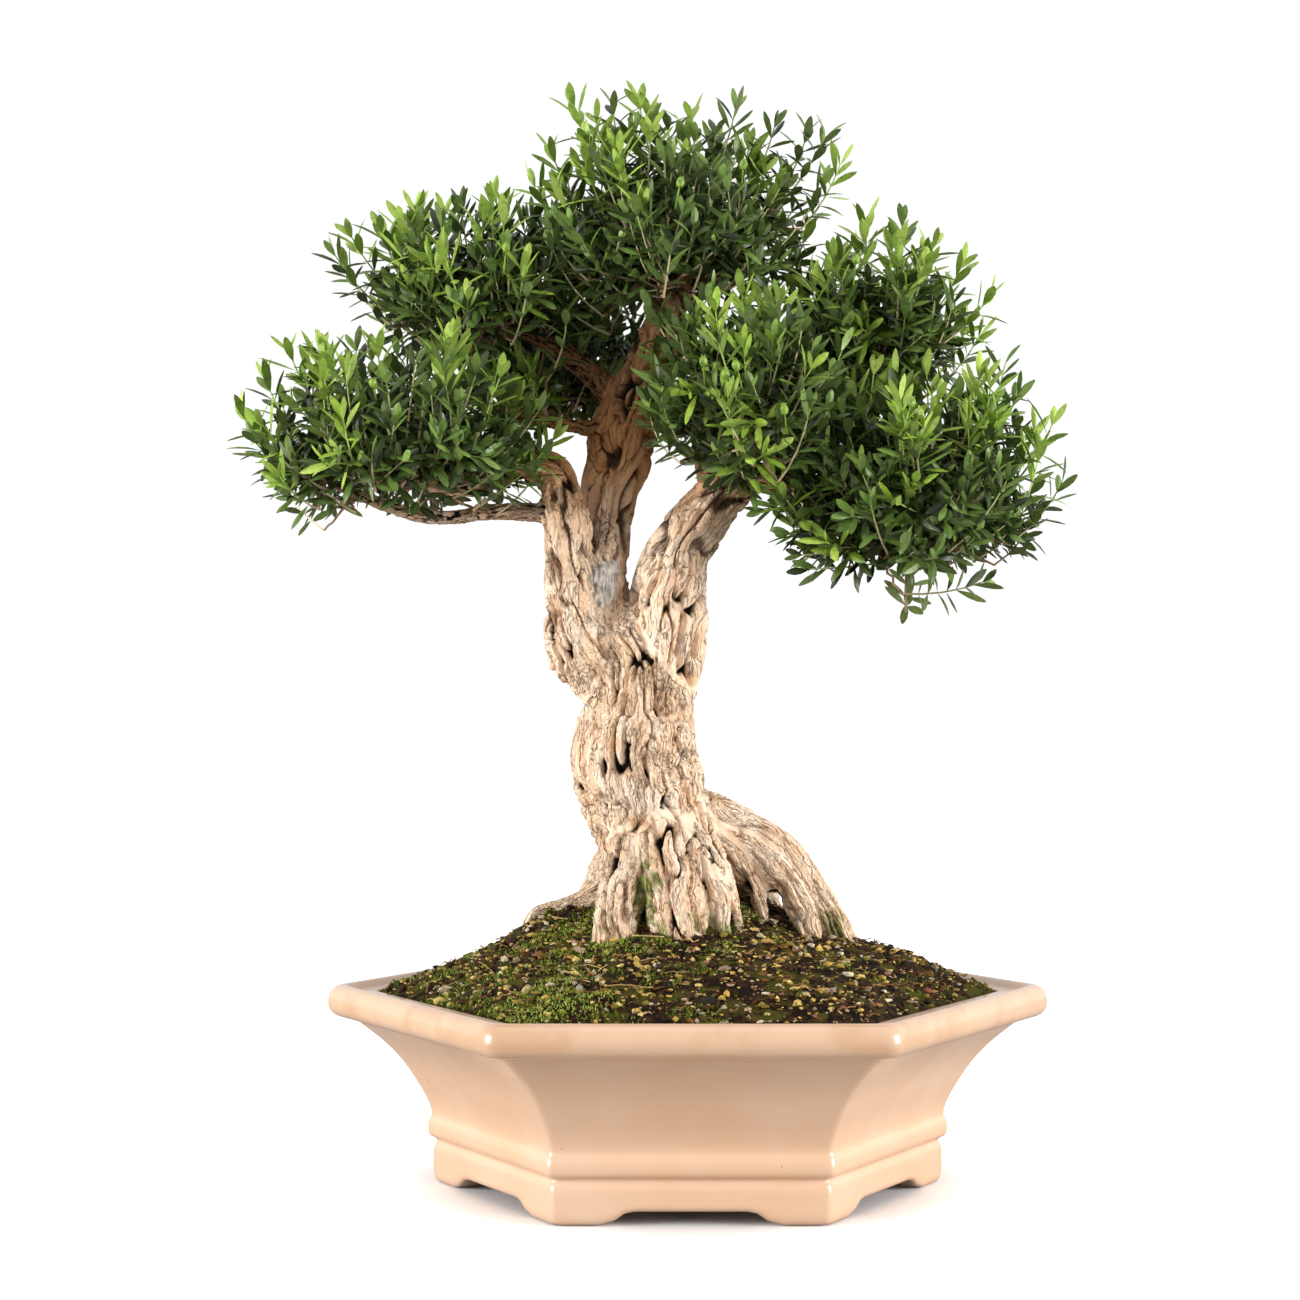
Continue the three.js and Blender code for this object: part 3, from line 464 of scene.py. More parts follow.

# %% [markdown]
# The relief of the bark is a sum of what an eye sees on it. Long flutes run with the grain. Between them lie strands
# a few millimetres wide, as in a rope, and here and there the valley between two strands opens to a deep crevice,
# whose colour is painted black later: partly its dark inner bark, partly painted shade.
# Short breaks cross the strands, and rough patches are crumbly. The valleys come from a folded noise: where soft
# noise crosses zero, its plain size has a sharp crease. It follows the strands better than cells do, which would
# look like cracked mud.

# %% Relief of the bark
LIMB_APART = mm(173)
BEND_SIZE, BEND_DEPTH = mm(17), mm(3.8)
FLUTE_SIZE, FLUTE_DEPTH = mm(14, 14, 80), mm(3.2)
SINEW_SIZE, SINEW_DEPTH = mm(6.4, 6.4, 36), mm(3.8)
PLATE_SIZE, PLATE_STEP = mm(7, 7, 24), mm(1.1)
BREAK_DEPTH = mm(1.6)
CREVICE_SIZE, CREVICE_DEPTH = mm(10, 10, 17), mm(4.2)
ROUGH_SIZE = mm(20)
CRUMB_SIZE, CRUMB_DEPTH = mm(2.7), mm(1.3)


def bark_relief(local, number, corkiness):
    """Height of the bark over the limb's skin, its numbers for the colour, and where it lies in the grain.

    A corky limb, of corkiness 1, has shorter strands, broken plates, crevices and rough patches. A root has few."""
    grain = local + number * LIMB_APART
    bend = np.stack([soft_noise(grain / BEND_SIZE, seed) for seed in (5, 6)], axis=1)
    grain[:, :2] += bend * BEND_DEPTH
    flute = soft_noise(grain / FLUTE_SIZE, 1)
    groove = 1 - smooth_step(0.0, 0.3, np.abs(flute))
    strand = np.abs(soft_noise(grain / (SINEW_SIZE * [1, 1, 2.2 - 1.2 * corkiness]), 4))
    sinew = np.sin(math.pi / 2 * np.minimum(strand / 0.32, 1))
    valley = 1 - smooth_step(0.02, 0.2, strand)
    border, plate = cell_noise(grain / PLATE_SIZE, 10)
    broken = (1 - smooth_step(0.02, 0.14, border)) * corkiness
    open_up = smooth_step(-0.12, 0.24, soft_noise(grain / CREVICE_SIZE, 2)) * corkiness
    rough = smooth_step(0.08, 0.5, soft_noise(grain / ROUGH_SIZE, 7)) * corkiness
    crumb = soft_noise(grain / CRUMB_SIZE, 3)
    height = FLUTE_DEPTH * (0.5 * flute - 0.5 * groove)
    height += SINEW_DEPTH * (sinew - 0.75) * (0.55 + 0.45 * corkiness) * (1 - 0.4 * rough)
    height += PLATE_STEP * (plate - 0.5) * corkiness - BREAK_DEPTH * broken
    height += CRUMB_DEPTH * crumb * (0.15 + rough) - CREVICE_DEPTH * valley * open_up
    # This number paints crevices and broken plates dark: partly their dark inner bark, partly painted shade.
    dark = np.clip(valley * open_up + 0.3 * broken * open_up, 0, 1)
    return height, [dark, valley, plate, rough], grain


bark_line = np.linspace(0, 60, 200)[:, None] * mm(0, 0, 1)
print("60 mm of bark rises and falls by", round(np.ptp(bark_relief(bark_line, 0, 1)[0]) * 1000, 1), "mm")

# %% [markdown]
# Where two limbs meet, a point takes the reliefs of both, each weighed by how close the point is to that limb's skin.
# The seam between them is marked, so that the material can hide its finest creases there.

# %% The relief of all limbs, blended where they meet
ROOT_CORKINESS, ROOT_TOP = 0.35, mm(290)
BLEND_WIDTH, BLEND_DEPTH = mm(2.6), mm(4)
FULL_RADIUS = mm(16)

sums = np.zeros((len(bark_points), 6))
strongest, runner_up = np.zeros((2, len(bark_points)))
grain_places = np.zeros((len(bark_points), 3))
for number, limb in enumerate(limbs):
    which, local, over = places_on(limb, bark_points)
    weight = np.exp(-np.maximum(over, -BLEND_DEPTH) / BLEND_WIDTH)
    weight *= smooth_step(LIMB_REACH, LIMB_REACH * 0.6, over)
    size = np.clip(limb["radius"].mean() / FULL_RADIUS, 0.3, 1) * limb.get("coarse", 1)
    corkiness = ROOT_CORKINESS if limb["centres"][:, 2].max() < ROOT_TOP else 1
    height, numbers, places = bark_relief(local / size, number, corkiness)
    sums[which] += np.stack([weight, weight * height * size, *[weight * values for values in numbers]], axis=1)
    runner_up[which] = np.maximum(runner_up[which], np.minimum(weight, strongest[which]))
    nearer = weight > strongest[which]
    strongest[which[nearer]] = weight[nearer]
    grain_places[which[nearer]] = places[nearer]
relief, crevices_and_hollow_shade, valleys, tints, roughs = (sums[:, 1:] / np.maximum(sums[:, :1], 1e-9)).T
lead = (strongest - runner_up) / np.maximum(strongest + runner_up, 1e-9)
seams = 1 - smooth_step(0.12, 0.5, lead)
print("bark relief from", round(relief.min() * 1000, 1), "to", round(relief.max() * 1000, 1), "mm")

# %% [markdown]
# A branch was once cut off just under the fork. Its scar is a flat grey oval of bare wood with a ragged edge. The
# relief is faded out there, the skin is cut back to one plane, and faint fibres run up it. The feet of the roots are
# damp and carry moss, which also climbs a nook between two of them in front. Two hollows open where the roots on
# the right part, and they are painted black as painted shade. Last, the mesh is thinned, which keeps its creases and
# drops points where the bark is flat.

# %% Scar, moss and the finished bark
SCAR_MIDDLE = POT + mm(-59, -26, 432)
SCAR_HALF = mm(13.5, 17, 20)
SCAR_FACE = POT[1] - mm(20.5)
FIBRE_SIZE, FIBRE_DEPTH = mm(1.8, 1.8, 16), mm(0.5)
HOLLOWS = [((40, -22, 206), (7, 20, 22)), ((62, -18, 198), (6, 15, 17))]
HOLLOW_DEPTH = mm(8)
SOIL_LEVEL, MOSS_TOP = mm(168), mm(214)
MOSSY_NOOK, NOOK_HALF = POT + mm(-29, -46, 210), mm(11, 34, 30)
MOST_TRIANGLES = 196000


def ragged_spot(middle, half, full, end, raggedness, grain_size, seed):
    """A spot with a ragged edge on the bark: 1 in it and 0 outside, from its middle and half its size each way."""
    away = np.linalg.norm((bark_points - middle) / half, axis=1)
    return 1 - smooth_step(full, end, away + raggedness * soft_noise(bark_points / grain_size, seed))


scar = ragged_spot(SCAR_MIDDLE, SCAR_HALF, 0.8, 1.0, 0.3, mm(6), 33)
relief = relief * (1 - scar)
for middle, half in HOLLOWS:
    hollow = ragged_spot(POT + mm(middle), mm(half), 0.55, 1.05, 0.25, mm(7), 35)
    relief = relief - hollow * HOLLOW_DEPTH
    # Painted shade: each hollow is painted as black as a crevice.
    crevices_and_hollow_shade = np.maximum(crevices_and_hollow_shade, hollow)
height_over_soil = (bark_points[:, 2] - SOIL_LEVEL) / (MOSS_TOP - SOIL_LEVEL)
moss = np.clip(1.2 - height_over_soil, 0, 1) * smooth_step(-0.3, 0.4, soft_noise(bark_points / mm(9), 32))
moss = np.maximum(moss, ragged_spot(MOSSY_NOOK, NOOK_HALF, 0.5, 1.1, 0.5, mm(5), 34))

fibres = soft_noise(bark_points / FIBRE_SIZE, 31) * FIBRE_DEPTH
bark_points += on_points(wood.data, "normal") * relief[:, None]
flattened = np.maximum(bark_points[:, 1], SCAR_FACE) + fibres
bark_points[:, 1] = bark_points[:, 1] * (1 - scar) + flattened * scar
wood.data.vertices.foreach_set("co", bark_points.ravel())
keep_numbers(wood.data, dict(crevice_and_hollow_shade=crevices_and_hollow_shade * (1 - scar), valley=valleys * (1 - scar), tint=tints, rough=roughs,
                             seam=seams, scar=scar, moss=moss))
grain_layer = wood.data.attributes.new("grain", "FLOAT_VECTOR", "POINT")
grain_layer.data.foreach_set("vector", grain_places.astype(np.float32).ravel())
before = triangles(wood)
if before > MOST_TRIANGLES:
    wood.modifiers.new("thin", "DECIMATE").ratio = MOST_TRIANGLES / before
    settle(wood)
wood.data.shade_smooth()
print("bark:", before, "triangles thinned to", triangles(wood))

# %% [markdown]
# The pot is a stack of hexagons with soft corners, one for each place of a profile that runs from the middle of its
# underside over the rim to the middle of its floor. Each place has its corner's distance from the axis, its height
# and how round the corners are there.

# %% Sizes and profile of the pot
POT_HEIGHT, RIM, MOUTH, WAIST, FOOT, WALL = 141, 260, 224, 184, 183, 12
FLOOR_UNDERSIDE, FLOOR_TOP, FOOT_WIDTH = 20, 32, 22
BELLY_HEIGHT, NECK_HEIGHT = 73, 118
ARCH_REACH = 26
RIM_ROUND, BODY_ROUND, INNER_ROUND = 15, 7, 10

POT_PROFILE = [
    (0, FLOOR_UNDERSIDE, 0), (FOOT - FOOT_WIDTH - 40, FLOOR_UNDERSIDE, BODY_ROUND),
    (FOOT - FOOT_WIDTH - 2, FLOOR_UNDERSIDE, BODY_ROUND), (FOOT - FOOT_WIDTH, 0, BODY_ROUND),
    (FOOT - 12, 0, BODY_ROUND + 2), (FOOT - 3, 0, BODY_ROUND + 3), (FOOT + 0.4, 4, BODY_ROUND + 3),
    (FOOT + 0.4, 14, BODY_ROUND), (FOOT + 0.4, ARCH_REACH, BODY_ROUND), (FOOT - 2.5, 29.5, BODY_ROUND),
    (FOOT - 1, 31.5, BODY_ROUND), (WAIST + 3.4, 33.8, BODY_ROUND), (WAIST + 3.4, 43.5, BODY_ROUND),
    (WAIST, 49, BODY_ROUND), (WAIST + 4.5, 61, BODY_ROUND), (WAIST + 12.5, 74, BODY_ROUND),
    (WAIST + 21.5, 87, BODY_ROUND), (WAIST + 34, 100, BODY_ROUND), (WAIST + 53, 114.5, BODY_ROUND),
    (RIM - 18, 117.5, RIM_ROUND), (RIM - 6, 118.5, RIM_ROUND), (RIM + 0.6, 124, RIM_ROUND),
    (RIM + 0.6, 133, RIM_ROUND), (RIM - 3, POT_HEIGHT - 1.6, RIM_ROUND), (RIM - 10, POT_HEIGHT + 0.8, RIM_ROUND),
    (RIM - 18, POT_HEIGHT - 3, INNER_ROUND), (RIM - 21, POT_HEIGHT - 4.6, INNER_ROUND),
    (MOUTH + 1, POT_HEIGHT - 3.6, INNER_ROUND), (MOUTH, POT_HEIGHT - 6, INNER_ROUND),
    (MOUTH, NECK_HEIGHT, INNER_ROUND), (WAIST, BELLY_HEIGHT, INNER_ROUND), (WAIST - WALL - 3, FLOOR_TOP, INNER_ROUND),
    (60, FLOOR_TOP, INNER_ROUND), (0, FLOOR_TOP, 0),
]
print(len(POT_PROFILE), "places on the profile")

# %% [markdown]
# Every hexagon has the same number of points, so that neighbours join up. They lie closer together at the corners
# and where the arches between the feet begin. Corner cutting rounds the hard profile as a thick glaze would.

# %% Hexagons with soft corners
HEX = 6
SIDE_TURN = 2 * math.pi / HEX
FLAT_SHARE = math.cos(SIDE_TURN / 2)
SIDE_STATIONS = np.array([0.06, 0.14, 0.2, 0.24, 0.28, 0.32, 0.37, 0.43, 0.57, 0.63, 0.68, 0.72, 0.76, 0.8, 0.86, 0.94])
CORNER_STATIONS = 9


def hexagon_outline(corner, rounding):
    """Points round a hexagon with rounded corners, in millimetres, with the same count at every size."""
    inset = max(corner - rounding / FLAT_SHARE, 0)
    corners = np.arange(HEX)[:, None] * SIDE_TURN
    turns = corners + np.linspace(-SIDE_TURN / 2, SIDE_TURN / 2, CORNER_STATIONS)
    arcs = inset * np.stack([np.cos(corners), np.sin(corners)], axis=2)
    arcs = arcs + rounding * np.stack([np.cos(turns), np.sin(turns)], axis=2)
    starts, ends = arcs[:, -1:], np.roll(arcs[:, :1], -1, axis=0)
    sides = starts + (ends - starts) * SIDE_STATIONS[:, None]
    return np.concatenate([arcs, sides], axis=1).reshape(-1, 2)


def cut_corners(rows, passes):
    """Rounds a profile by cutting off all its corners, as many times over as asked, and keeps its two ends."""
    for _ in range(passes):
        start, end = rows[:-1], rows[1:]
        cut = np.stack([start * 0.75 + end * 0.25, start * 0.25 + end * 0.75], axis=1).reshape(-1, rows.shape[1])
        rows = np.vstack([rows[:1], cut[1:-1], rows[-1:]])
    return rows


def hexagon_rings(rows):
    """A hexagon for each place of a profile, but for its two ends, which lie on the axis. In millimetres."""
    outlines = [(hexagon_outline(corner, rounding), height) for corner, height, rounding in rows[1:-1]]
    return np.array([np.column_stack([outline, np.full(len(outline), height)]) for outline, height in outlines])


def cap_ends(rings, low, high):
    """Points and triangles of a stack of rings, closed at two heights by a fan to a point on the axis."""
    count, last = rings.shape[1], rings.shape[0] * rings.shape[1]
    side = np.arange(count)
    start = np.stack([np.full(count, last), (side + 1) % count, side], 1)
    top = last - count
    end = np.stack([np.full(count, last + 1), top + side, top + (side + 1) % count], 1)
    faces = np.concatenate([between_rings(len(rings), count), start, end])
    return np.vstack([rings.reshape(-1, 3), [0, 0, low], [0, 0, high]]), faces[:, ::-1]


profile = cut_corners(np.array(POT_PROFILE, float), 2)
print("rounded profile has", len(profile), "places")

# %% [markdown]
# The feet are what is left when the lower edge of the wall is raised into a low arch in the middle of each side. The
# arch ends at the underside of the floor inside, and at the band above the feet outside.

# %% Feet and the finished pot
ARCH_HALF, ARCH_SHOULDER, ARCH_HEIGHT = 57.5, 18, 9
FEET_SHARE = 0.7


def raise_arches(rings):
    """Lifts the lower edge of the pot's wall in the middle of each side."""
    x, y, height = np.moveaxis(rings, 2, 0)
    angle, away = np.arctan2(y, x), np.hypot(x, y)
    facing = (np.round(angle / SIDE_TURN - 0.5) + 0.5) * SIDE_TURN
    beside = np.abs(np.cos(facing) * y - np.sin(facing) * x)
    arch = ARCH_HEIGHT * smooth_step(ARCH_HALF, ARCH_HALF - ARCH_SHOULDER, beside)
    inner_side = away * np.cos(angle - facing) < (FOOT - FOOT_WIDTH + 1) * FLAT_SHARE
    roof = np.where(inner_side, FLOOR_UNDERSIDE, ARCH_REACH)
    foot = (height < roof) & (away > FOOT * FEET_SHARE)
    raised = np.where(foot, arch + height * (roof - arch) / roof, height)
    return np.stack([x, y, raised], axis=2)


pot_points, pot_faces = cap_ends(raise_arches(hexagon_rings(profile)), profile[0, 1], profile[-1, 1])
pot = mesh_object("glazed_pot", mm(pot_points) + POT, pot_faces)
print("pot:", triangles(pot), "triangles, top at", round(pot_points[:, 2].max(), 1), "mm")

# %% [markdown]
# A bonsai pot has holes in its floor, so that water never stands round the roots. A round drill stands through the
# floor at each hole, and a boolean cuts its shape away and closes the mesh again.

# %% Drain holes
DRAIN_RADIUS, DRAIN_CIRCLE, DRAIN_COUNT = 16, 88, 3
DRILL_DEPTH, DRILL_SIDES = 30, 40

for number in range(DRAIN_COUNT):
    angle = math.pi / 2 + number * 2 * math.pi / DRAIN_COUNT
    place = POT + mm(DRAIN_CIRCLE * math.cos(angle), DRAIN_CIRCLE * math.sin(angle), (FLOOR_UNDERSIDE + FLOOR_TOP) / 2)
    bpy.ops.mesh.primitive_cylinder_add(vertices=DRILL_SIDES, radius=mm(DRAIN_RADIUS), depth=mm(DRILL_DEPTH),
                                        location=place)
    drill = bpy.context.object
    pot.modifiers.new("drain", "BOOLEAN").object = drill
    settle(pot)
    bpy.data.objects.remove(drill)
pot.data.shade_smooth()
pot.data.set_sharp_from_angle(angle=math.radians(50))
print("pot with drain holes:", triangles(pot), "triangles")

# %% [markdown]
# The soil fills the pot to its mouth and rises to the tree in a mound with a gritty top. It is made of the same
# rounded hexagons as the pot, which turn to circles towards the trunk, with noise for its clods.

# %% Soil
SOIL_EDGE, SOIL_MOUND, SLOPE_POWER, SOIL_CROWN, CROWN_SHARE = 135, 52, 2.2, 22, 0.45
SOIL_FLOOR, WALL_GAP = FLOOR_TOP + 0.35, 0.5
SHOULDERS = [(-98, 20, 17, 36), (66, 40, 14, 32), (150, -5, 4, 45)]
CLODS = [(1.8, 13, 41), (1.7, 5, 42), (1.1, 2.4, 43)]
SOIL_RINGS = 96


def soil_height(share):
    """Height of the mound at a share of the way from the middle to the mouth."""
    crown = max(0, 1 - (share / CROWN_SHARE) ** 2) ** 2
    return SOIL_EDGE + SOIL_MOUND * (1 - share**SLOPE_POWER) + SOIL_CROWN * crown


soil_rows = [
    (0, SOIL_FLOOR, 0),
    (WAIST - WALL - 3 - WALL_GAP, SOIL_FLOOR, INNER_ROUND),
    (WAIST - WALL_GAP, BELLY_HEIGHT, INNER_ROUND),
    (MOUTH - WALL_GAP, NECK_HEIGHT + 0.3, INNER_ROUND),
]
mouth_ring = len(soil_rows) - 1
for share in np.linspace(1, 0.01, SOIL_RINGS):
    rounding = MOUTH * share * min(1, 2 * (1 - share)) * FLAT_SHARE
    soil_rows.append((MOUTH * share - WALL_GAP * share, soil_height(share), max(rounding, INNER_ROUND * share)))
soil_rows.append((0, soil_height(0), 0))
soil_rings = hexagon_rings(soil_rows)
ring_points = soil_rings.reshape(-1, 3)
clods = sum(height * soft_noise(ring_points / size, seed) for height, size, seed in CLODS)
for x, y, rise, reach in SHOULDERS:
    clods += rise * np.exp(-((ring_points[:, 0] - x) ** 2 + (ring_points[:, 1] - y) ** 2) / reach**2)
soil_rings[mouth_ring + 1:, :, 2] += clods.reshape(soil_rings.shape[:2])[mouth_ring + 1:]
soil_points, soil_faces = cap_ends(soil_rings, SOIL_FLOOR, soil_height(0))
soil = mesh_object("soil_mound", mm(soil_points) + POT, soil_faces)
print("soil:", triangles(soil), "triangles")

# %% [markdown]
# Grit, straw and moss lie on the soil. Each bit is dropped from above onto the mound, so that it rests on the
# surface wherever that is. Thousands of bits of one kind are joined into one mesh, which is far lighter than
# thousands of objects.

# %% Dropping things on the soil
MOUTH_INSET = 4
DROP_HEIGHT = 400

soil_tree = BVHTree.FromPolygons([Vector(place) for place in mm(soil_points) + POT], soil_faces.tolist())


def inside_mouth(places, inset):
    """Whether places lie inside the pot's mouth, by a margin, in millimetres from its axis."""
    reach = (MOUTH - inset) * FLAT_SHARE
    facings = (np.arange(HEX) + 0.5) * SIDE_TURN
    return np.all([places @ [math.cos(a), math.sin(a)] < reach for a in facings], axis=0)


def dropped(count, rng, inset=MOUTH_INSET):
    """Scattered places on the soil, in metres. Twice as many are thrown as are wanted, as some miss the mouth."""
    spread = rng.uniform(-MOUTH, MOUTH, (count * 2, 2))
    spread = spread[inside_mouth(spread, inset)][:count]
    falls = [soil_tree.ray_cast(Vector(POT + mm(x, y, DROP_HEIGHT)), -Vector(UP))[0] for x, y in spread]
    return np.array([hit or POT + mm(x, y, SOIL_EDGE) for hit, (x, y) in zip(falls, spread)])


def twenty_faced_ball():
    """Points and triangles of a ball of twenty faces."""
    shape = bmesh.new()
    bmesh.ops.create_icosphere(shape, subdivisions=1, radius=1)
    points = np.array([v.co[:] for v in shape.verts])
    faces = np.array([[v.index for v in f.verts] for f in shape.faces])
    shape.free()
    return points, faces


def copies(points, faces, count):
    """The triangles of many copies of one shape, whose points follow one another."""
    return (faces[None] + np.arange(count)[:, None, None] * len(points)).reshape(-1, 3)


ball_points, ball_faces = twenty_faced_ball()
print("ball:", len(ball_points), "points and", len(ball_faces), "faces")

# %% [markdown]
# The grit is sharp grains of up to a few millimetres. Balls of twenty faces, dented until they are angular, are
# enough at that size. Each grain gets its own size, stretch, turn and tint.

# %% Grit
GRAINS = 6600
rng = np.random.default_rng(11)
grit_places = dropped(GRAINS, rng)
sizes = mm(np.clip(rng.lognormal(0.4, 0.48, GRAINS), 0.7, 5.4))[:, None]
stretch = rng.uniform([0.8, 0.5, 0.35], [1.6, 1.05, 0.85], (GRAINS, 3))
spins = rng.uniform(0, 2 * math.pi, GRAINS)[:, None]
dents = rng.uniform(0.52, 1.18, (GRAINS, len(ball_points), 1))
x, y, z = np.moveaxis(ball_points * dents * stretch[:, None] * sizes[:, None], 2, 0)
stones = np.stack([x * np.cos(spins) - y * np.sin(spins), x * np.sin(spins) + y * np.cos(spins), z], axis=2)
stones = stones + grit_places[:, None] + UP * sizes[:, None] * 0.22
grit_tint = np.repeat(rng.uniform(0, 1, GRAINS), len(ball_points))
grit = mesh_object("grit", stones.reshape(-1, 3), copies(ball_points, ball_faces, GRAINS), dict(tint=grit_tint),
                   smooth=False)
print("grit:", GRAINS, "grains,", triangles(grit), "triangles")

# %% [markdown]
# Tubes make the twigs, the stems of the shoots and the straw. One function draws any number of them at once, each
# with its own path and its own taper.

# %% Many tapered tubes at once
def tubes(paths, radii, sides):
    """Points and triangles of closed tubes along many paths with the same number of places.

    The radii are given for each place of each path, or once for all paths."""
    count, steps = paths.shape[:2]
    radii = np.broadcast_to(radii, (count, steps))
    tangents = unit(np.gradient(paths, axis=1))
    reference = np.where(np.abs(tangents[:, :1, 2:]) > 0.9, [1.0, 0, 0], UP)
    normals = unit(np.cross(tangents[:, 0], reference[:, 0]))
    rings = []
    for step in range(steps):
        tangent = tangents[:, step]
        normals = unit(normals - tangent * (normals * tangent).sum(1, keepdims=True))
        beside = np.cross(tangent, normals)
        angle = np.arange(sides) * 2 * math.pi / sides
        around = normals[:, None] * np.cos(angle)[:, None] + beside[:, None] * np.sin(angle)[:, None]
        rings.append(paths[:, step, None] + around * radii[:, step, None, None])
    stacked = np.stack(rings, axis=1)
    one_points, one_faces = closed_tube(stacked[0])
    return stacked.reshape(-1, 3), copies(one_points, one_faces, count)


trial_points, trial_faces = tubes(np.array([[[0.0, 0, 0], [0, 0, 1], [0, 1, 2]]]), 0.1, 6)
print("a six-sided tube of three rings has", len(trial_points), "points and", len(trial_faces), "triangles")

# %% [markdown]
# Dry needles and bits of straw lie among the grains. Each is a thin, slightly bent tube that lies nearly flat.

# %% Straw
STRAWS, STRAW_STEPS, STRAW_SIDES = 700, 4, 3

straw_places = dropped(STRAWS, rng)
heading = rng.uniform(0, 2 * math.pi, STRAWS)
lengths = mm(np.clip(rng.lognormal(2.2, 0.5, STRAWS), 4, 24))
reach = np.stack([np.cos(heading), np.sin(heading), rng.uniform(-0.1, 0.35, STRAWS)], 1) * lengths[:, None]
steps = np.linspace(-0.5, 0.5, STRAW_STEPS)
straw_paths = straw_places[:, None] + reach[:, None] * steps[:, None] + UP * mm(2)
straw_paths += rng.normal(0, mm(0.6), straw_paths.shape)
straw_points, straw_faces = tubes(straw_paths, mm(rng.uniform(0.2, 0.6, (STRAWS, 1))), STRAW_SIDES)
straw_tint = np.repeat(rng.uniform(0, 1, STRAWS), STRAW_STEPS * STRAW_SIDES)
straw = mesh_object("straw", straw_points, straw_faces, dict(tint=straw_tint), smooth=False)
print("straw:", triangles(straw), "triangles")

# %% [markdown]
# Moss grows in patches, more to the left and in front than elsewhere. It is a carpet of thousands of tiny spikes of
# four faces each, which swells where the moss thrives.

# %% Moss
SPIKES = 15000
SPIKE_FOOT = mm(0.62)

moss_places = dropped(SPIKES * 3, rng, inset=2)
patch = soft_noise(moss_places / mm(30), 51) + 0.7 * soft_noise(moss_places / mm(9), 52)
side_bias = np.clip((POT[0] - moss_places[:, 0]) / mm(220), -0.35, 0.6)
front_bias = np.clip((POT[1] - moss_places[:, 1]) / mm(200), -0.3, 0.35)
wanted = patch + 0.8 * side_bias + 0.4 * front_bias
chosen = np.argsort(-wanted)[:SPIKES]
moss_places, vigour = moss_places[chosen], wanted[chosen]
swell = mm(2.6) * smooth_step(0, 0.9, vigour - vigour.min()) * (0.6 + 0.4 * soft_noise(moss_places / mm(4), 53))
lean = unit(UP + rng.normal(0, 0.7, (SPIKES, 3)))
spike_height = mm(rng.uniform(1.0, 2.4, (SPIKES, 1)))
turn = rng.uniform(0, 2 * math.pi, (SPIKES, 1)) + np.arange(3) * 2 * math.pi / 3
feet = np.stack([np.cos(turn), np.sin(turn), np.full(turn.shape, -1.0)], axis=2) * SPIKE_FOOT
moss_points = np.concatenate([feet, (lean * spike_height)[:, None]], axis=1)
moss_points = moss_points + (moss_places + UP * swell[:, None])[:, None]
moss_faces = copies(moss_points[0], np.array([[0, 1, 3], [1, 2, 3], [2, 0, 3], [0, 2, 1]]), SPIKES)
moss_tint = np.repeat(rng.uniform(0, 1, SPIKES) * 0.6 + 0.4 * smooth_step(0.2, 1.4, vigour), 4)
moss_carpet = mesh_object("moss", moss_points.reshape(-1, 3), moss_faces, dict(tint=moss_tint), smooth=False)
print("moss:", triangles(moss_carpet), "triangles")

# %% [markdown]
# Boxwood carries its leaves in opposite pairs, each pair a quarter turn from the last, on upright shoots a few
# centimetres long. A cushion is a dome full of such shoots. `below` says how far the dome goes on under its middle.
# A dome alone would look clipped, so the tips of the long shoots that stand clear of it on the real tree are placed
# one by one.

# %% Cushions
CUSHIONS = {
    "left_low": dict(centre=(-200, -35, 536), radii=(117, 94, 82), below=0.46),
    "left_up": dict(centre=(-147, 30, 648), radii=(100, 84, 80), below=0.3),
    "top": dict(centre=(-9, 5, 689), radii=(111, 96, 95), below=0.5),
    "right_up": dict(centre=(136, 20, 627), radii=(80, 80, 66), below=0.45),
    "right_low": dict(centre=(156, -25, 506), radii=(112, 95, 98), below=0.7),
    "middle": dict(centre=(42, -58, 570), radii=(84, 66, 80), below=0.75),
    "back_left": dict(centre=(-92, 104, 600), radii=(95, 74, 68), below=0.45),
    "back_right": dict(centre=(84, 108, 588), radii=(98, 74, 70), below=0.45),
}
SPRAYS = {
    "top": [(-84, -8, 786), (-70, 2, 776), (-104, 0, 752), (-114, 6, 730), (-56, -6, 787), (-40, -20, 786),
            (-26, 6, 786), (40, -10, 780), (66, 4, 772), (90, -6, 768), (106, -10, 764), (112, -14, 744),
            (100, -20, 724)],
    "left_up": [(-262, 20, 682), (-248, 14, 692), (-252, 20, 668), (-226, 10, 700), (-196, 12, 710), (-168, 20, 716),
                (-136, 16, 718), (-110, 24, 712), (-90, 10, 704)],
    "left_low": [(-318, -40, 560), (-302, -38, 588), (-286, -40, 602), (-262, -50, 606), (-300, -30, 528),
                 (-246, -46, 492), (-214, -52, 482), (-286, -40, 506)],
    "right_up": [(128, 6, 704), (156, 0, 700), (182, 8, 690), (206, 0, 672), (226, -6, 648), (216, -6, 622)],
    "right_low": [(226, -20, 600), (242, -25, 578), (262, -40, 548), (270, -30, 512), (66, -52, 446), (54, -50, 462),
                  (74, -56, 436), (92, -58, 454), (112, -54, 450), (140, -54, 441), (160, -50, 437), (184, -44, 443),
                  (206, -38, 450), (76, -46, 474), (40, -46, 478), (60, -40, 486)],
    "middle": [(-14, -40, 544), (-4, -44, 520), (2, -50, 500), (24, -62, 494), (50, -64, 478), (78, -90, 624),
               (-22, -44, 578), (-30, -40, 602), (-10, -54, 592), (-16, -48, 622), (-34, -36, 636), (6, -70, 616)],
}
print(len(CUSHIONS), "cushions and", sum(len(tips) for tips in SPRAYS.values()), "long shoots")

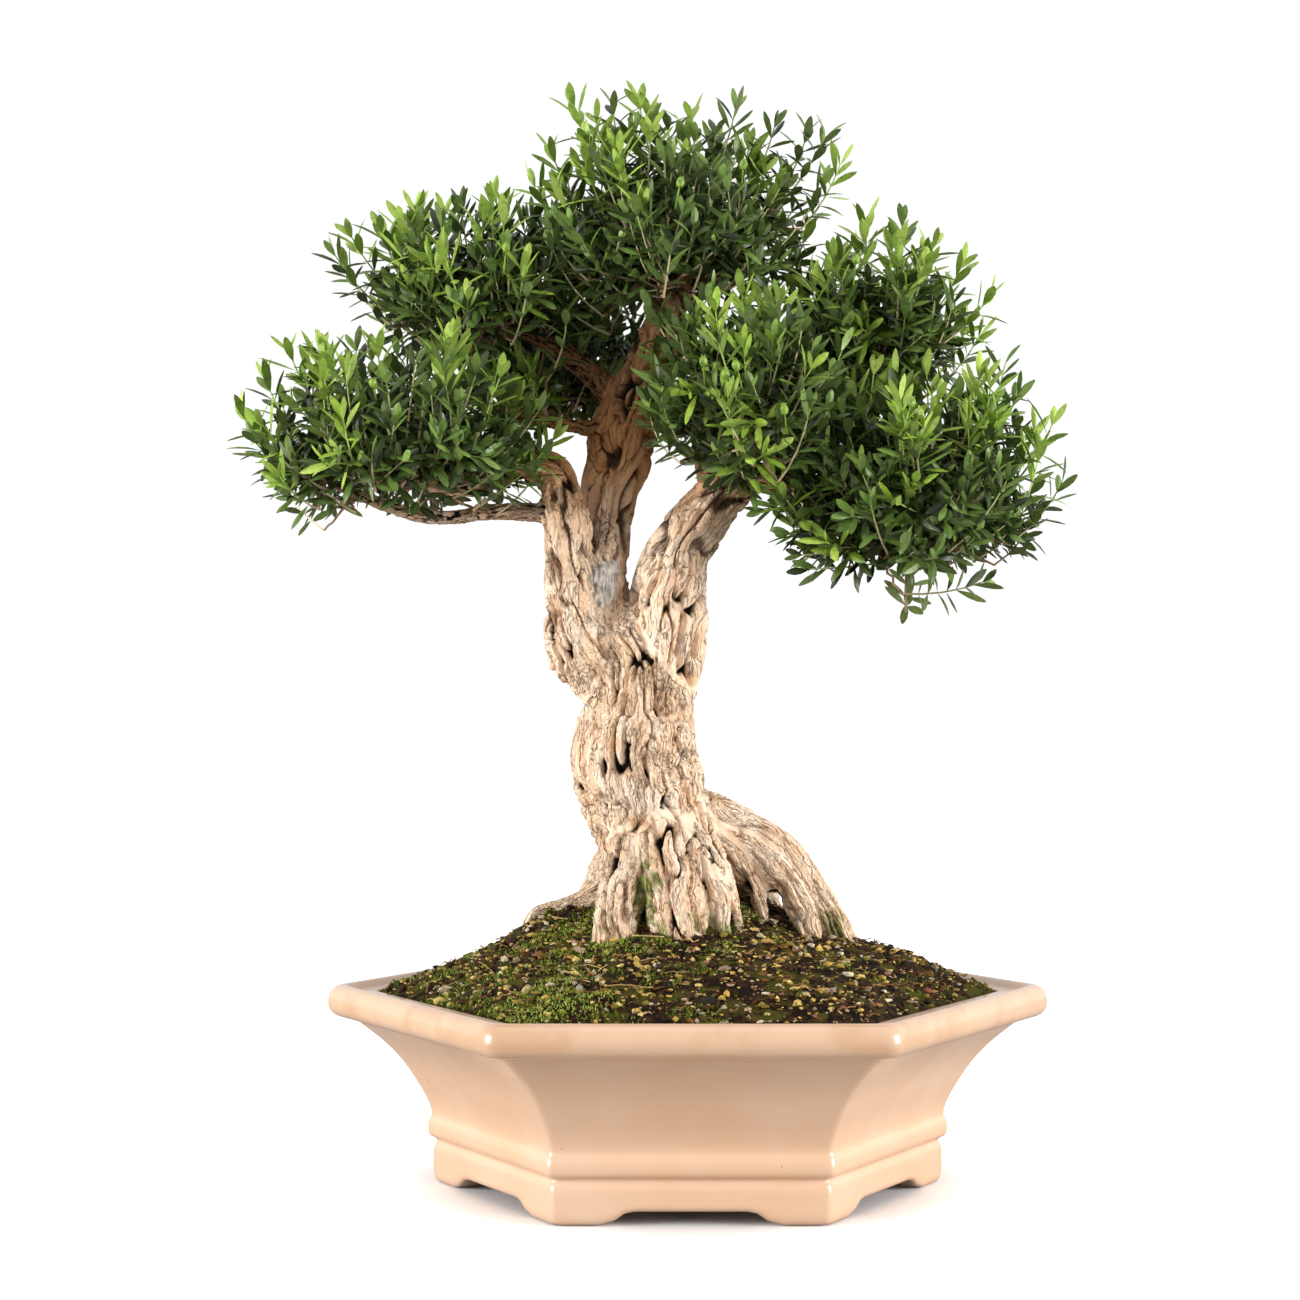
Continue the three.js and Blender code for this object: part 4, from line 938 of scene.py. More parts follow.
# %% [markdown]
# Shoots are spread over a dome by a spiral, so that they stand evenly on all sides, and a third of them end deeper
# inside, where old leaves are small and are painted dark: partly their age, partly painted shade. Each shoot starts
# out sideways and bends up to the light.

# %% Shoots of a cushion
GOLDEN_ANGLE = math.pi * (3 - math.sqrt(5))
SHOOT_AREA = 460 / 1
AREA_POWER = 1.6
DOWNWARD_LEFT = 0.3
TIP_INSET = mm(14)


def level_below(directions):
    """Directions that point down are turned nearly level, as shoots under a cushion grow out to the light."""
    return unit(np.where((directions < 0) & (UP > 0), directions * DOWNWARD_LEFT, directions))


def shoot_curves(tip, heading, aside, length):
    """Shoots as three points of a simple curve each: the foot, the bend and the tip."""
    bend = tip - heading * length * 0.5
    return np.stack([bend - unit(heading + aside) * length * 0.5, bend, tip], axis=1)


def spread_shoots(cushion, rng):
    """Every shoot of a cushion, with how vigorous it is. A dome's area by a known rule of thumb sets their number."""
    radii = np.array(cushion["radii"], float)
    a, b, c = radii**AREA_POWER
    area = 4 * math.pi * ((a * b + a * c + b * c) / 3) ** (1 / AREA_POWER) * (1 + cushion["below"]) / 2
    count = int(area / SHOOT_AREA)
    number = np.arange(count)
    rise = 1 - (number + 0.5) / count * (1 + cushion["below"])
    turn = number * GOLDEN_ANGLE + count
    level = np.sqrt(1 - rise**2)
    outward = np.stack([level * np.cos(turn), level * np.sin(turn), rise], axis=1)
    outward = unit(outward + rng.normal(0, 0.12, outward.shape))
    facing = level_below(unit(outward / radii))
    inner = number % 3 == 0
    lumps = soft_noise(outward * 2.6 + count, 61)
    vigour = np.clip(0.42 + 0.3 * lumps + 0.3 * outward[:, 2] + rng.normal(0, 0.24, count), 0.02, 1)
    outer_depth = 0.88 + 0.1 * lumps + 0.12 * (vigour - 0.5) + rng.uniform(-0.1, 0.04, count)
    depth = np.where(inner, rng.uniform(0.35, 0.7, count), outer_depth)
    lift = np.where(outward[:, 2] > -0.2, rng.uniform(0.7, 1.7, count), rng.uniform(-0.1, 0.35, count))
    heading = unit(facing * 0.8 + UP * lift[:, None] + rng.normal(0, 0.25, (count, 3)))
    tip = POT + mm(cushion["centre"]) + mm(outward) * radii * depth[:, None] - heading * TIP_INSET
    length = mm(np.where(inner, rng.uniform(26, 46, count), rng.uniform(36, 64, count) + 16 * vigour))[:, None]
    return shoot_curves(tip, heading, 1.2 * facing, length), np.where(inner, 0.0, vigour)


def spray_shoots(name, centre, rng):
    """The long shoots that stand clear of a cushion, from the places of their tips."""
    tips = POT + mm(SPRAYS[name]) + rng.normal(0, mm(2), (len(SPRAYS[name]), 3))
    away = unit(tips - (POT + mm(centre)))
    low = away[:, 2] < -0.1
    away = level_below(away)
    heading = unit(away + UP * np.where(low, 0.12, 1.6)[:, None] + rng.normal(0, 0.15, tips.shape))
    curves = shoot_curves(tips - heading * TIP_INSET, heading, away, mm(rng.uniform(46, 66, (len(tips), 1))))
    return curves, rng.uniform(0.4, 1, len(tips)) * np.where(low, 0.5, 1)


trial_shoots, _ = spread_shoots(CUSHIONS["middle"], np.random.default_rng(0))
print("the middle cushion has", len(trial_shoots), "shoots besides its long ones")

# %% [markdown]
# One leaf is a long narrow blade, widest a little beyond its middle and blunt at the tip. It is folded like a low
# roof along its midrib and closed below by a flat underside, so it has a real thickness. Fourteen points are enough
# for that, and with many thousands of leaves every point counts.

# %% The shape of a leaf
LEAF_STATIONS = np.array([0.15, 0.41, 0.68, 0.9])
LEAF_WIDTHS = np.array([0.19, 0.45, 0.49, 0.26])
LEAF_ROOF = 0.34


def leaf_template():
    """Shares along, across and above of each point of a leaf, its rib number, and its triangles."""
    rows = [(0, 0, 0, 0)]
    for station, half in zip(LEAF_STATIONS, LEAF_WIDTHS):
        rows += [(station, -half, 0, 0), (station, 0, LEAF_ROOF * half, 1), (station, half, 0, 0)]
    rows.append((1, 0, 0, 0))
    last = 3 * (len(LEAF_STATIONS) - 1)
    faces = []
    for a, b in ((1, 2), (2, 3), (3, 1)):
        faces.append((0, b, a))
        for low in range(0, last, 3):
            faces += [(a + low, b + low, b + low + 3), (a + low, b + low + 3, a + low + 3)]
        faces.append((a + last, b + last, len(rows) - 1))
    return np.array(rows), np.array(faces)


leaf_rows, leaf_faces = leaf_template()
print("a leaf has", len(leaf_rows), "points and", len(leaf_faces), "triangles")

# %% [markdown]
# The leaves are set pair by pair along each shoot. Those at its tip are young, small and held close, and the lower
# ones spread wide. All leaves of a cushion are worked out at once as arrays, which takes a second where a loop over
# single leaves would take minutes.

# %% Leaves of a cushion
PAIR_SPACING = mm(7)
LEAFY_SHARE = 0.9
LEAF_SIZE, LEAF_SLIMNESS = mm(25.5), 0.26
PAIRS_DOWN, GROWTH_THERE = [0, 1, 3, 7], [0.74, 0.98, 1.0, 0.78]
BOX_MARGIN = mm(0.5)


def curve_at(shoots, share):
    """Places and directions on simple curves of three points, at a share of each."""
    share = share[:, None]
    foot, bend, tip = shoots[:, 0], shoots[:, 1], shoots[:, 2]
    place = (1 - share) ** 2 * foot + 2 * share * (1 - share) * bend + share**2 * tip
    return place, unit(2 * (1 - share) * (bend - foot) + 2 * share * (tip - bend))


def leaf_places(shoots, rng):
    """Both leaves of each pair: their shoot, share along it, turn round it and number of the pair from the tip."""
    length = np.linalg.norm(shoots[:, 2] - shoots[:, 0], axis=1)
    pairs = np.maximum(3, (length * LEAFY_SHARE / PAIR_SPACING).astype(int))
    shoot = np.repeat(np.arange(len(shoots)), pairs)
    pair = np.concatenate([np.arange(n) for n in pairs])
    share = 1 - pair / pairs[shoot] * LEAFY_SHARE - 0.015
    start = rng.uniform(0, math.pi, len(shoots))[shoot]
    turn = start + pair * math.pi / 2 + rng.normal(0, 0.2, len(pair))
    return np.tile(shoot, 2), np.tile(share, 2), np.concatenate([turn, turn + math.pi]), np.tile(pair, 2)


def leaves(shoots, vigour, rng):
    """Points, triangles and numbers of all leaves on the shoots, but for those that would pass the solids' box."""
    shoot, share, turn, pair = leaf_places(shoots, rng)
    foot, tangent = curve_at(shoots[shoot], share)
    first = unit(np.cross(tangent, np.array([0.31, 0.95, 0.05])))
    second = np.cross(tangent, first)
    outward = first * np.cos(turn)[:, None] + second * np.sin(turn)[:, None]
    count = len(shoot)
    splay = np.clip(0.4 + 0.22 * pair, 0, 1.25) + rng.normal(0, 0.18, count)
    heading = tangent * np.cos(splay)[:, None] + outward * np.sin(splay)[:, None]
    heading = unit(heading + UP * 0.08)
    upper = tangent - heading * (tangent * heading).sum(1, keepdims=True)
    upper = unit(unit(upper) + UP * 0.25)
    upper = unit(upper - heading * (upper * heading).sum(1, keepdims=True))
    across = np.cross(heading, upper)
    strong = vigour[shoot]
    growth = np.interp(pair, PAIRS_DOWN, GROWTH_THERE)
    size = LEAF_SIZE * growth * (0.78 + 0.3 * strong) * rng.uniform(0.8, 1.15, count)
    width = LEAF_SIZE * LEAF_SLIMNESS * (0.6 + 0.4 * growth) * rng.uniform(0.85, 1.12, count)
    arch = rng.uniform(-0.04, 0.3, count)
    t, x, z, rib = leaf_rows.T
    size, width, arch = size[:, None], width[:, None], arch[:, None]
    points = foot[:, None] + heading[:, None] * (t * size)[..., None] + across[:, None] * (x * width)[..., None]
    points = points + upper[:, None] * (z * width - arch * size * t**2)[..., None]
    age = np.clip((strong - 0.52) * 3.4 - 0.19 * pair, 0, 1)
    # Leaves of shoots deep inside get low tints and so are painted darker: partly old leaves, partly painted shade.
    tint = rng.uniform(0, 1, count) * np.where(strong > 0, 1 - 0.08 * pair, 0.3)
    inside = ((points > np.array(cad_low) + BOX_MARGIN) & (points < np.array(cad_high) - BOX_MARGIN)).all(axis=(1, 2))
    kept = inside.sum()
    numbers = dict(age=np.repeat(age[inside], len(t)), tint=np.repeat(tint[inside], len(t)), rib=np.tile(rib, kept))
    return points[inside].reshape(-1, 3), copies(leaf_rows, leaf_faces, kept), numbers


print("a shoot of 50 mm carries", int(mm(50) * LEAFY_SHARE / PAIR_SPACING), "pairs of leaves")

# %% [markdown]
# A stem follows its shoot's curve. It carries the same numbers as the leaves, so that one material can dress both:
# a leaf's rib number is 1 on its midrib and 0 beside it, and a stem's is 2.

# %% Stems of a cushion
STEM_STEPS, STEM_SIDES, STEM_RIB = 5, 3, 2.0


def stems(shoots, vigour):
    """Points, triangles and numbers of the stems that carry the leaves."""
    steps = np.linspace(0, 1, STEM_STEPS)
    paths = np.stack([curve_at(shoots, np.full(len(shoots), step))[0] for step in steps], axis=1)
    points, faces = tubes(paths, mm(np.interp(steps, [0, 1], [0.95, 0.55])), STEM_SIDES)
    age = np.repeat(np.tile(steps, len(shoots)), STEM_SIDES) * np.repeat(0.3 + 0.7 * vigour, STEM_SIDES * STEM_STEPS)
    return points, faces, dict(age=age, tint=np.zeros(len(points)), rib=np.full(len(points), STEM_RIB))


print("a stem has", STEM_STEPS * STEM_SIDES, "points")

# %% [markdown]
# Each cushion becomes one piece, which later stands for the node of that cushion. Its edges are kept sharp along the
# rims of the leaves, so that a leaf's upper side catches the light as a flat face does.

# %% Grow the foliage
LEAF_EDGE_ANGLE = math.radians(28)
all_shoots, foliage, leaf_total = {}, [], 0

for number, (name, cushion) in enumerate(CUSHIONS.items()):
    rng = np.random.default_rng(100 + number)
    shoots, vigour = spread_shoots(cushion, rng)
    if name in SPRAYS:
        sprays, strength = spray_shoots(name, cushion["centre"], rng)
        shoots, vigour = np.concatenate([shoots, sprays]), np.concatenate([vigour, strength])
    all_shoots[name] = shoots
    parts = [leaves(shoots, vigour, rng), stems(shoots, vigour)]
    leaf_total += len(parts[0][0]) // len(leaf_rows)
    numbers = {key: np.concatenate([part[2][key] for part in parts]) for key in parts[0][2]}
    piece = mesh_object("leaves_" + name, *merge([part[:2] for part in parts]), numbers)
    piece.data.set_sharp_from_angle(angle=LEAF_EDGE_ANGLE)
    foliage.append((piece, "foliage_" + name))
    print(name, len(shoots), "shoots,", triangles(piece), "triangles")
print(leaf_total, "leaves")

# %% [markdown]
# Twigs join the shoots to the tree. Real twigs fork: a few leave the branch, and each feeds the shoots near it. So
# shoots are gathered in small groups, each group gets one twig from the nearest branch, and each shoot one
# thinner twig from its group's end.

# %% Twigs
SHOOTS_PER_TWIG = 8
TWIG_STEPS = 7
TWIG_RADII, SPRIG_RADII = mm(np.linspace(3.0, 1.4, TWIG_STEPS)), mm(np.linspace(1.3, 0.95, TWIG_STEPS))
FORK_SHARE = 0.3
LOWEST_TWIG = mm(455)

wood_line = np.concatenate([limb["centres"] for limb in limbs])
wood_line = wood_line[wood_line[:, 2] > LOWEST_TWIG]


def crooked(start, end, wobble, rng, sag):
    """Paths from starts to ends that wander a little and hang through by a share of their length."""
    steps = np.linspace(0, 1, TWIG_STEPS)[:, None]
    paths = start[:, None] * (1 - steps) + end[:, None] * steps
    length = np.linalg.norm(end - start, axis=1)[:, None, None]
    bow = np.sin(steps * math.pi)
    return paths - UP * bow * length * sag + rng.normal(0, 1, paths.shape) * wobble * length * bow


def grouped(places, count, rng, rounds=6):
    """Which of `count` groups each place belongs to, and the groups' middles, which a few rounds move into place."""
    middles = places[rng.choice(len(places), count, replace=False)]
    for _ in range(rounds):
        owner = np.argmin(((places[:, None] - middles[None]) ** 2).sum(2), axis=1)
        middles = np.array([places[owner == n].mean(0) if (owner == n).any() else middles[n] for n in range(count)])
    return owner, middles


twig_parts = []
for number, (name, shoots) in enumerate(all_shoots.items()):
    rng = np.random.default_rng(200 + number)
    feet = shoots[:, 0]
    owner, middles = grouped(feet, max(3, len(feet) // SHOOTS_PER_TWIG), rng)
    nearest = np.argmin(((middles[:, None] - wood_line[None]) ** 2).sum(2), axis=1)
    origin = wood_line[nearest]
    forks = middles + (origin - middles) * FORK_SHARE
    twig_parts.append(tubes(crooked(origin, forks, 0.035, rng, 0.05), TWIG_RADII, 6))
    twig_parts.append(tubes(crooked(forks[owner], feet, 0.03, rng, 0.03), SPRIG_RADII, 3))
twigs = mesh_object("twigs", *merge(twig_parts))
print("twigs:", triangles(twigs), "triangles")

# %% [markdown]
# Among the leaves sit a few green seed capsules: small eggs on a stalk, with three short horns on top. They could be
# turned from a profile, but the tapered tubes already give an egg, a stalk and a horn.

# %% Seed capsules
CAPSULES = [(9, -119, 575), (24, -121, 566), (31, -120, 572), (64, -112, 543), (-6, -78, 704), (38, -70, 718),
            (-128, -48, 664), (-214, -120, 560), (150, -114, 548), (118, -46, 656), (-60, 164, 606), (96, 168, 598)]
CAPSULE_HALF, CAPSULE_WIDE = mm(3.8), mm(2.9)

STALK_LENGTH, HORN_LENGTH = mm(16), mm(2)
EGG_RADII = CAPSULE_WIDE * np.sqrt(1 - np.linspace(-0.97, 0.97, 9) ** 2)
STALK_RADII, HORN_RADII = mm(np.linspace(0.5, 0.7, 4)), mm(np.linspace(0.6, 0.15, 3))


def capsule_tubes(start, direction, length, radii, sides):
    """One tapered tube for each capsule, from a start in its direction."""
    return tubes(start + direction * np.linspace(0, 1, len(radii))[:, None] * length, radii, sides)


rng = np.random.default_rng(300)
middle = (POT + mm(CAPSULES))[:, None]
upright = unit(UP + rng.normal(0, 0.35, (len(CAPSULES), 3)))[:, None]
capsule_parts = [
    capsule_tubes(middle - upright * CAPSULE_HALF, upright, 2 * CAPSULE_HALF, EGG_RADII, 10),
    capsule_tubes(middle - upright * CAPSULE_HALF * 0.9, -unit(upright + [0, -0.6, 0]), STALK_LENGTH, STALK_RADII, 4),
]
for angle in np.arange(3) * 2 * math.pi / 3:
    aside = np.array([math.cos(angle), math.sin(angle), 0])
    start = middle + upright * CAPSULE_HALF * 0.85 + aside * mm(0.7)
    capsule_parts.append(capsule_tubes(start, unit(upright + 0.7 * aside), HORN_LENGTH, HORN_RADII, 4))
capsules = mesh_object("seed_capsules", *merge(capsule_parts))
print("capsules:", triangles(capsules), "triangles")

# %% [markdown]
# A material is a net of nodes, and the same few nodes come again and again. So each gets a short function that adds
# it and hands back its result. Colours are typed as in a colour chooser and turned into light values.

# %% Colours and nodes
def paint(code):
    """A colour chooser's code as the light values that Blender mixes."""
    channels = [int(code[i:i + 2], 16) / 255 for i in (0, 2, 4)]
    return [c / 12.92 if c <= 0.04045 else ((c + 0.055) / 1.055) ** 2.4 for c in channels] + [1.0]


def node(tree, kind, feeds=None, **settings):
    """Adds a node. Feeds are its inputs: a value sets one, and another node's output is linked to one."""
    made = tree.nodes.new(kind if kind.startswith("NodeGroup") else "ShaderNode" + kind)
    for key, value in settings.items():
        setattr(made, key, value)
    for key, value in (feeds or {}).items():
        if isinstance(value, bpy.types.NodeSocket):
            tree.links.new(value, made.inputs[key])
        else:
            made.inputs[key].default_value = value
    return made


def mixed(tree, share, first, second, how="MIX"):
    """One colour blended towards another."""
    return node(tree, "Mix", {0: share, 6: first, 7: second}, data_type="RGBA", blend_type=how).outputs[2]


def ranged(tree, value, low, high, to_low=0.0, to_high=1.0):
    """A number moved from one range to another, smoothly at both ends."""
    feeds = {0: value, 1: low, 2: high, 3: to_low, 4: to_high}
    return node(tree, "MapRange", feeds, interpolation_type="SMOOTHSTEP").outputs[0]


def ramp(tree, value, stops):
    """A colour looked up between stops, by a number from 0 to 1."""
    made = node(tree, "ValToRGB", {0: value})
    elements = made.color_ramp.elements
    elements[0].position, elements[0].color = stops[0][0], paint(stops[0][1])
    elements[1].position, elements[1].color = stops[-1][0], paint(stops[-1][1])
    for place, code in stops[1:-1]:
        elements.new(place).color = paint(code)
    return made.outputs[0]


print("the grey in the middle of the chooser reflects", round(paint("808080")[0], 3), "of the light")

# %% [markdown]
# A finish changes from place to place. It can follow a number that the mesh keeps on its points, the place itself, the
# height, or a noise in space. Each of these is a small net of its own.

# %% What a finish can follow
def number_of(tree, name):
    """The named number that the mesh keeps on its points."""
    return node(tree, "Attribute", attribute_name=name).outputs["Fac"]


def worked_out(tree, how, *numbers):
    """The result of a sum, such as MULTIPLY, done on numbers."""
    return node(tree, "Math", dict(enumerate(numbers)), operation=how).outputs[0]


def place_on(tree):
    """Where a point lies, in metres."""
    return node(tree, "TexCoord").outputs["Object"]


def height_on(tree):
    """How high a point lies, in metres."""
    return node(tree, "SeparateXYZ", {0: place_on(tree)}).outputs[2]


def noise(tree, where, scale, detail):
    """The outputs of a noise: a number first, and a colour."""
    return node(tree, "TexNoise", {"Vector": where, "Scale": scale, "Detail": detail}).outputs


trial_net = bpy.data.node_groups.new("trial", "ShaderNodeTree")
noise(trial_net, place_on(trial_net), 10.0, 2.0)
print("a noise that follows the place takes", len(trial_net.nodes), "nodes")
bpy.data.node_groups.remove(trial_net)

# %% [markdown]
# One general surface shader takes every finish here, from dry bark to wet-looking glaze. Its own sockets say how
# rough, glossy or coated a surface is, and the nets are linked to its colour and its normal.

# %% Materials
def new_material(name, **sockets):
    """A material with the shader's own sockets set: roughness and the like."""
    made = bpy.data.materials.new(name)
    made.use_nodes = True
    shader = made.node_tree.nodes["Principled BSDF"]
    for key, value in sockets.items():
        shader.inputs[key.replace("_", " ")].default_value = value
    return made, made.node_tree, shader


def feed(tree, shader, **links):
    """Links finished colours and normals to the shader."""
    for key, socket in links.items():
        tree.links.new(socket, shader.inputs[key.replace("_", " ")])


def dress(material, *pieces):
    """Gives pieces their one material."""
    for piece in pieces:
        piece.data.materials.clear()
        piece.data.materials.append(material)


print(len(bpy.data.materials), "materials before the first finish")

# %% [markdown]
# Two effects are shared by several materials and so are node groups: a mottle that mixes two colours in soft
# blotches, and a fine grain that gives a height for bumps. Each material sets its own colours and sizes on them.

# %% Shared effects
NUMBER, COLOUR = "NodeSocketFloat", "NodeSocketColor"


def new_group(name, inputs, output, output_kind):
    """A node group with named inputs and one output, as its tree, its inputs' sockets and its output's socket."""
    tree = bpy.data.node_groups.new(name, "ShaderNodeTree")
    for key, value in inputs.items():
        kind = COLOUR if isinstance(value, tuple) else NUMBER
        tree.interface.new_socket(key, in_out="INPUT", socket_type=kind).default_value = value
    tree.interface.new_socket(output, in_out="OUTPUT", socket_type=output_kind)
    return tree, node(tree, "NodeGroupInput").outputs, node(tree, "NodeGroupOutput").inputs[output]


mottle, given, result = new_group(
    "mottle", {"First": (1, 1, 1, 1), "Second": (0, 0, 0, 1), "Scale": 60.0, "From": 0.4, "To": 0.6}, "Color", COLOUR)
share = ranged(mottle, noise(mottle, place_on(mottle), given["Scale"], 4.0)[0], given["From"], given["To"])
mottle.links.new(mixed(mottle, share, given["First"], given["Second"]), result)

grain, given, result = new_group("fine_grain", {"Scale": 900.0}, "Height", NUMBER)
grain.links.new(noise(grain, place_on(grain), given["Scale"], 5.0)[0], result)


def mottled(tree, first, second, scale, low=0.4, high=0.6):
    """The mottle effect between two colours."""
    return node(tree, "Group", {"First": first, "Second": second, "Scale": scale, "From": low, "To": high},
                node_tree=mottle).outputs[0]


def grain_bump(tree, scale, depth, strength=0.6):
    """A bump from the fine grain effect, with its depth in metres."""
    height = node(tree, "Group", {"Scale": scale}, node_tree=grain).outputs[0]
    return node(tree, "Bump", {"Strength": strength, "Distance": depth, "Height": height}).outputs[0]


print("the mottle takes", len(mottle.nodes), "nodes and the fine grain", len(grain.nodes))

# %% [markdown]
# Bark is a pale peach on its strands. It is painted brown in the valleys between them and black in the crevices:
# partly the darker inner bark, partly painted shade. Creases that are finer than the mesh are drawn here, along the
# same grain, as brown lines that are partly painted shade, and as a bump. Higher up, under the leaves, the wood is
# painted darker and redder: partly its own colour, partly painted shade from the leaves. The scar is grey, and moss
# greens the feet of the roots.

# %% Bark material
def creases(tree, where, width, length, hidden):
    """How far a place is from the nearest crease between strands of the grain. Hidden ones count as far."""
    squeezed = node(tree, "VectorMath", {0: where, 1: (1 / width, 1 / width, 1 / length)}, operation="MULTIPLY")
    waves = noise(tree, squeezed.outputs[0], 1.0, 1.0)[0]
    apart = worked_out(tree, "ABSOLUTE", worked_out(tree, "SUBTRACT", waves, 0.5))
    return worked_out(tree, "MAXIMUM", apart, hidden)


def times(tree, first, second):
    """Two numbers multiplied."""
    return worked_out(tree, "MULTIPLY", first, second)


bark_material, tree, shader = new_material("corky_bark", Roughness=0.9, Specular_IOR_Level=0.2)
along_grain = node(tree, "Attribute", attribute_name="grain").outputs["Vector"]
wander = noise(tree, along_grain, 160.0, 2.0)["Color"]
wandering = node(tree, "VectorMath", {0: wander, 1: mm(3, 3, 3), 2: along_grain}, operation="MULTIPLY_ADD").outputs[0]
seam = ranged(tree, number_of(tree, "seam"), 0.0, 1.0, 0.0, 0.2)
rough, valley = number_of(tree, "rough"), number_of(tree, "valley")
wide = creases(tree, wandering, mm(4.6), mm(24), seam)
fine = creases(tree, wandering, mm(2.1), mm(8.5), seam)
broad = noise(tree, place_on(tree), 55.0, 2.0)[0]
big = times(tree, ranged(tree, wide, 0.004, 0.03, 1.0, 0.0), ranged(tree, broad, 0.38, 0.58, 0.1, 1.0))
small = times(tree, ranged(tree, fine, 0.004, 0.035, 1.0, 0.0), ranged(tree, rough, 0.0, 0.7, 0.3, 1.0))
raised = worked_out(tree, "MULTIPLY_ADD", ranged(tree, fine, 0.0, 0.12), 0.4, ranged(tree, wide, 0.0, 0.12))
bump = node(tree, "Bump", {"Strength": 1.0, "Distance": mm(1.7), "Height": raised}).outputs[0]
print("bark has", len(tree.nodes), "nodes for its creases")

# %% [markdown]
# The colours of the bark are laid over each other from the lightest to the darkest, as a painter would: the plates
# and their blotches, the brown of the valleys, the creases, the painted shade under the leaves, the crevices, and last
# the scar and the moss. The brown of the valleys and creases and the black of the crevices are partly painted shade.

# %% Colours of the bark
height = height_on(tree)
plates = ramp(tree, number_of(tree, "tint"), [(0.1, "EDC8A6"), (0.4, "F6D8B8"), (0.65, "FCE5CC"), (0.9, "F2CFAC")])
colour = mottled(tree, plates, paint("E2BA94"), 60.0, 0.54, 0.78)
colour = mottled(tree, colour, paint("A69C90"), 110.0, 0.71, 0.8)
colour = mottled(tree, colour, paint("E9C583"), 75.0, 0.71, 0.77)
colour = mixed(tree, ranged(tree, rough, 0.3, 1.0, 0.0, 0.5), colour,
               mottled(tree, paint("D3AC85"), paint("5F4936"), 420.0, 0.42, 0.58))
# The brown of the valleys and of the fine and wide creases is partly the darker inner bark, partly painted shade.
colour = mixed(tree, ranged(tree, valley, 0.2, 0.9, 0.0, 0.6), colour, paint("85583A"))
colour = mixed(tree, times(tree, small, 0.42), colour, paint("A3724E"))
colour = mixed(tree, times(tree, big, 0.75), colour, paint("5A3A24"))
# The upper wood is multiplied darker and redder by height: partly its own colour, partly painted shade from the leaves.
shade = [(0.0, "FFFFFF"), (0.35, "E8CBAA"), (0.7, "CFAA85"), (1.0, "A48A70")]
upper = ramp(tree, ranged(tree, height, 0.45, 0.6), shade)
colour = mixed(tree, 1.0, colour, upper, "MULTIPLY")
# Painted shade: the valleys high on the wood, under the leaves, are painted nearly black.
painted_shade_under_leaves = times(tree, ranged(tree, height, 0.41, 0.49), ranged(tree, valley, 0.05, 0.65, 0.0, 0.8))
colour = mixed(tree, painted_shade_under_leaves, colour, paint("24160D"))
# Crevices and hollows are painted nearly black: painted shade, beside the dark inner bark of the crevices.
colour = mixed(tree, ranged(tree, number_of(tree, "crevice_and_hollow_shade"), 0.28, 0.75), colour, paint("1C110A"))
wood_grey = mottled(tree, paint("E2D9CE"), paint("A89E93"), 150.0, 0.4, 0.65)
colour = mixed(tree, number_of(tree, "scar"), colour, wood_grey)
green = mottled(tree, paint("8B9440"), paint("4C5722"), 200.0)
colour = mixed(tree, ranged(tree, number_of(tree, "moss"), 0.3, 1.0, 0.0, 0.85), colour, green)
feed(tree, shader, Base_Color=colour, Normal=bump)
dress(bark_material, wood)
print("bark has", len(tree.nodes), "nodes in all")

# %% [markdown]
# Many of the finishes are of one kind: one colour, or tints by the number that each grain or straw got, with darker
# blotches and a fine grain. One loop makes them all. Grit is pumice, baked clay, bark and gravel, so its tints
# run from ochre through grey to dark brown.

# %% Twigs, capsules, grit, moss, straw and screens
SOIL_SHEEN = 0.12
GRIT_TINTS = [(0.0, "1F150C"), (0.18, "4A311B"), (0.28, "2A2724"), (0.38, "7F582A"), (0.48, "6F652A"), (0.58, "BE9B49"),
              (0.76, "E2C678"), (0.87, "9A907E"), (0.92, "834A35"), (1.0, "EFE3C2")]
MOSS_TINTS = [(0.0, "3A3D0E"), (0.5, "74822A"), (1.0, "B4C960")]
STRAW_TINTS = [(0.0, "3B2617"), (0.4, "6E452B"), (0.6, "93703F"), (1.0, "D2B57A")]
screens = [piece for name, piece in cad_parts.items() if name.startswith("drain_screen")]
BLOTCHED = [
    ("twig_bark", [twigs], 0.85, 0.25, "A3876A", ("644B36", 180.0, 0.45, 0.7), (1800.0, mm(0.4))),
    ("green_capsule", [capsules], 0.45, 0.4, "86A23C", ("587A2A", 320.0, 0.4, 0.65), (1500.0, mm(0.2))),
    ("mixed_grit", [grit], 0.8, SOIL_SHEEN, GRIT_TINTS, ("241A0F", 420.0, 0.5, 0.75), (1500.0, mm(0.5))),
    ("moss_green", [moss_carpet], 0.9, SOIL_SHEEN, MOSS_TINTS, ("2C3014", 300.0, 0.5, 0.7), None),
    ("dry_straw", [straw], 0.8, SOIL_SHEEN, STRAW_TINTS, ("4A3624", 90.0, 0.5, 0.7), (1600.0, mm(0.3))),
    ("black_mesh", screens, 0.55, 0.5, "191919", ("2E2C29", 200.0, 0.4, 0.6), (1200.0, mm(0.2))),
]
for name, pieces, roughness, sheen, tints, (blotch, *blotch_sizes), bump_sizes in BLOTCHED:
    material, tree, shader = new_material(name, Roughness=roughness, Specular_IOR_Level=sheen)
    colour = paint(tints) if isinstance(tints, str) else ramp(tree, number_of(tree, "tint"), tints)
    feed(tree, shader, Base_Color=mottled(tree, colour, paint(blotch), *blotch_sizes))
    if bump_sizes:
        feed(tree, shader, Normal=grain_bump(tree, *bump_sizes))
    dress(material, *pieces)
print(len(BLOTCHED), "blotched materials")

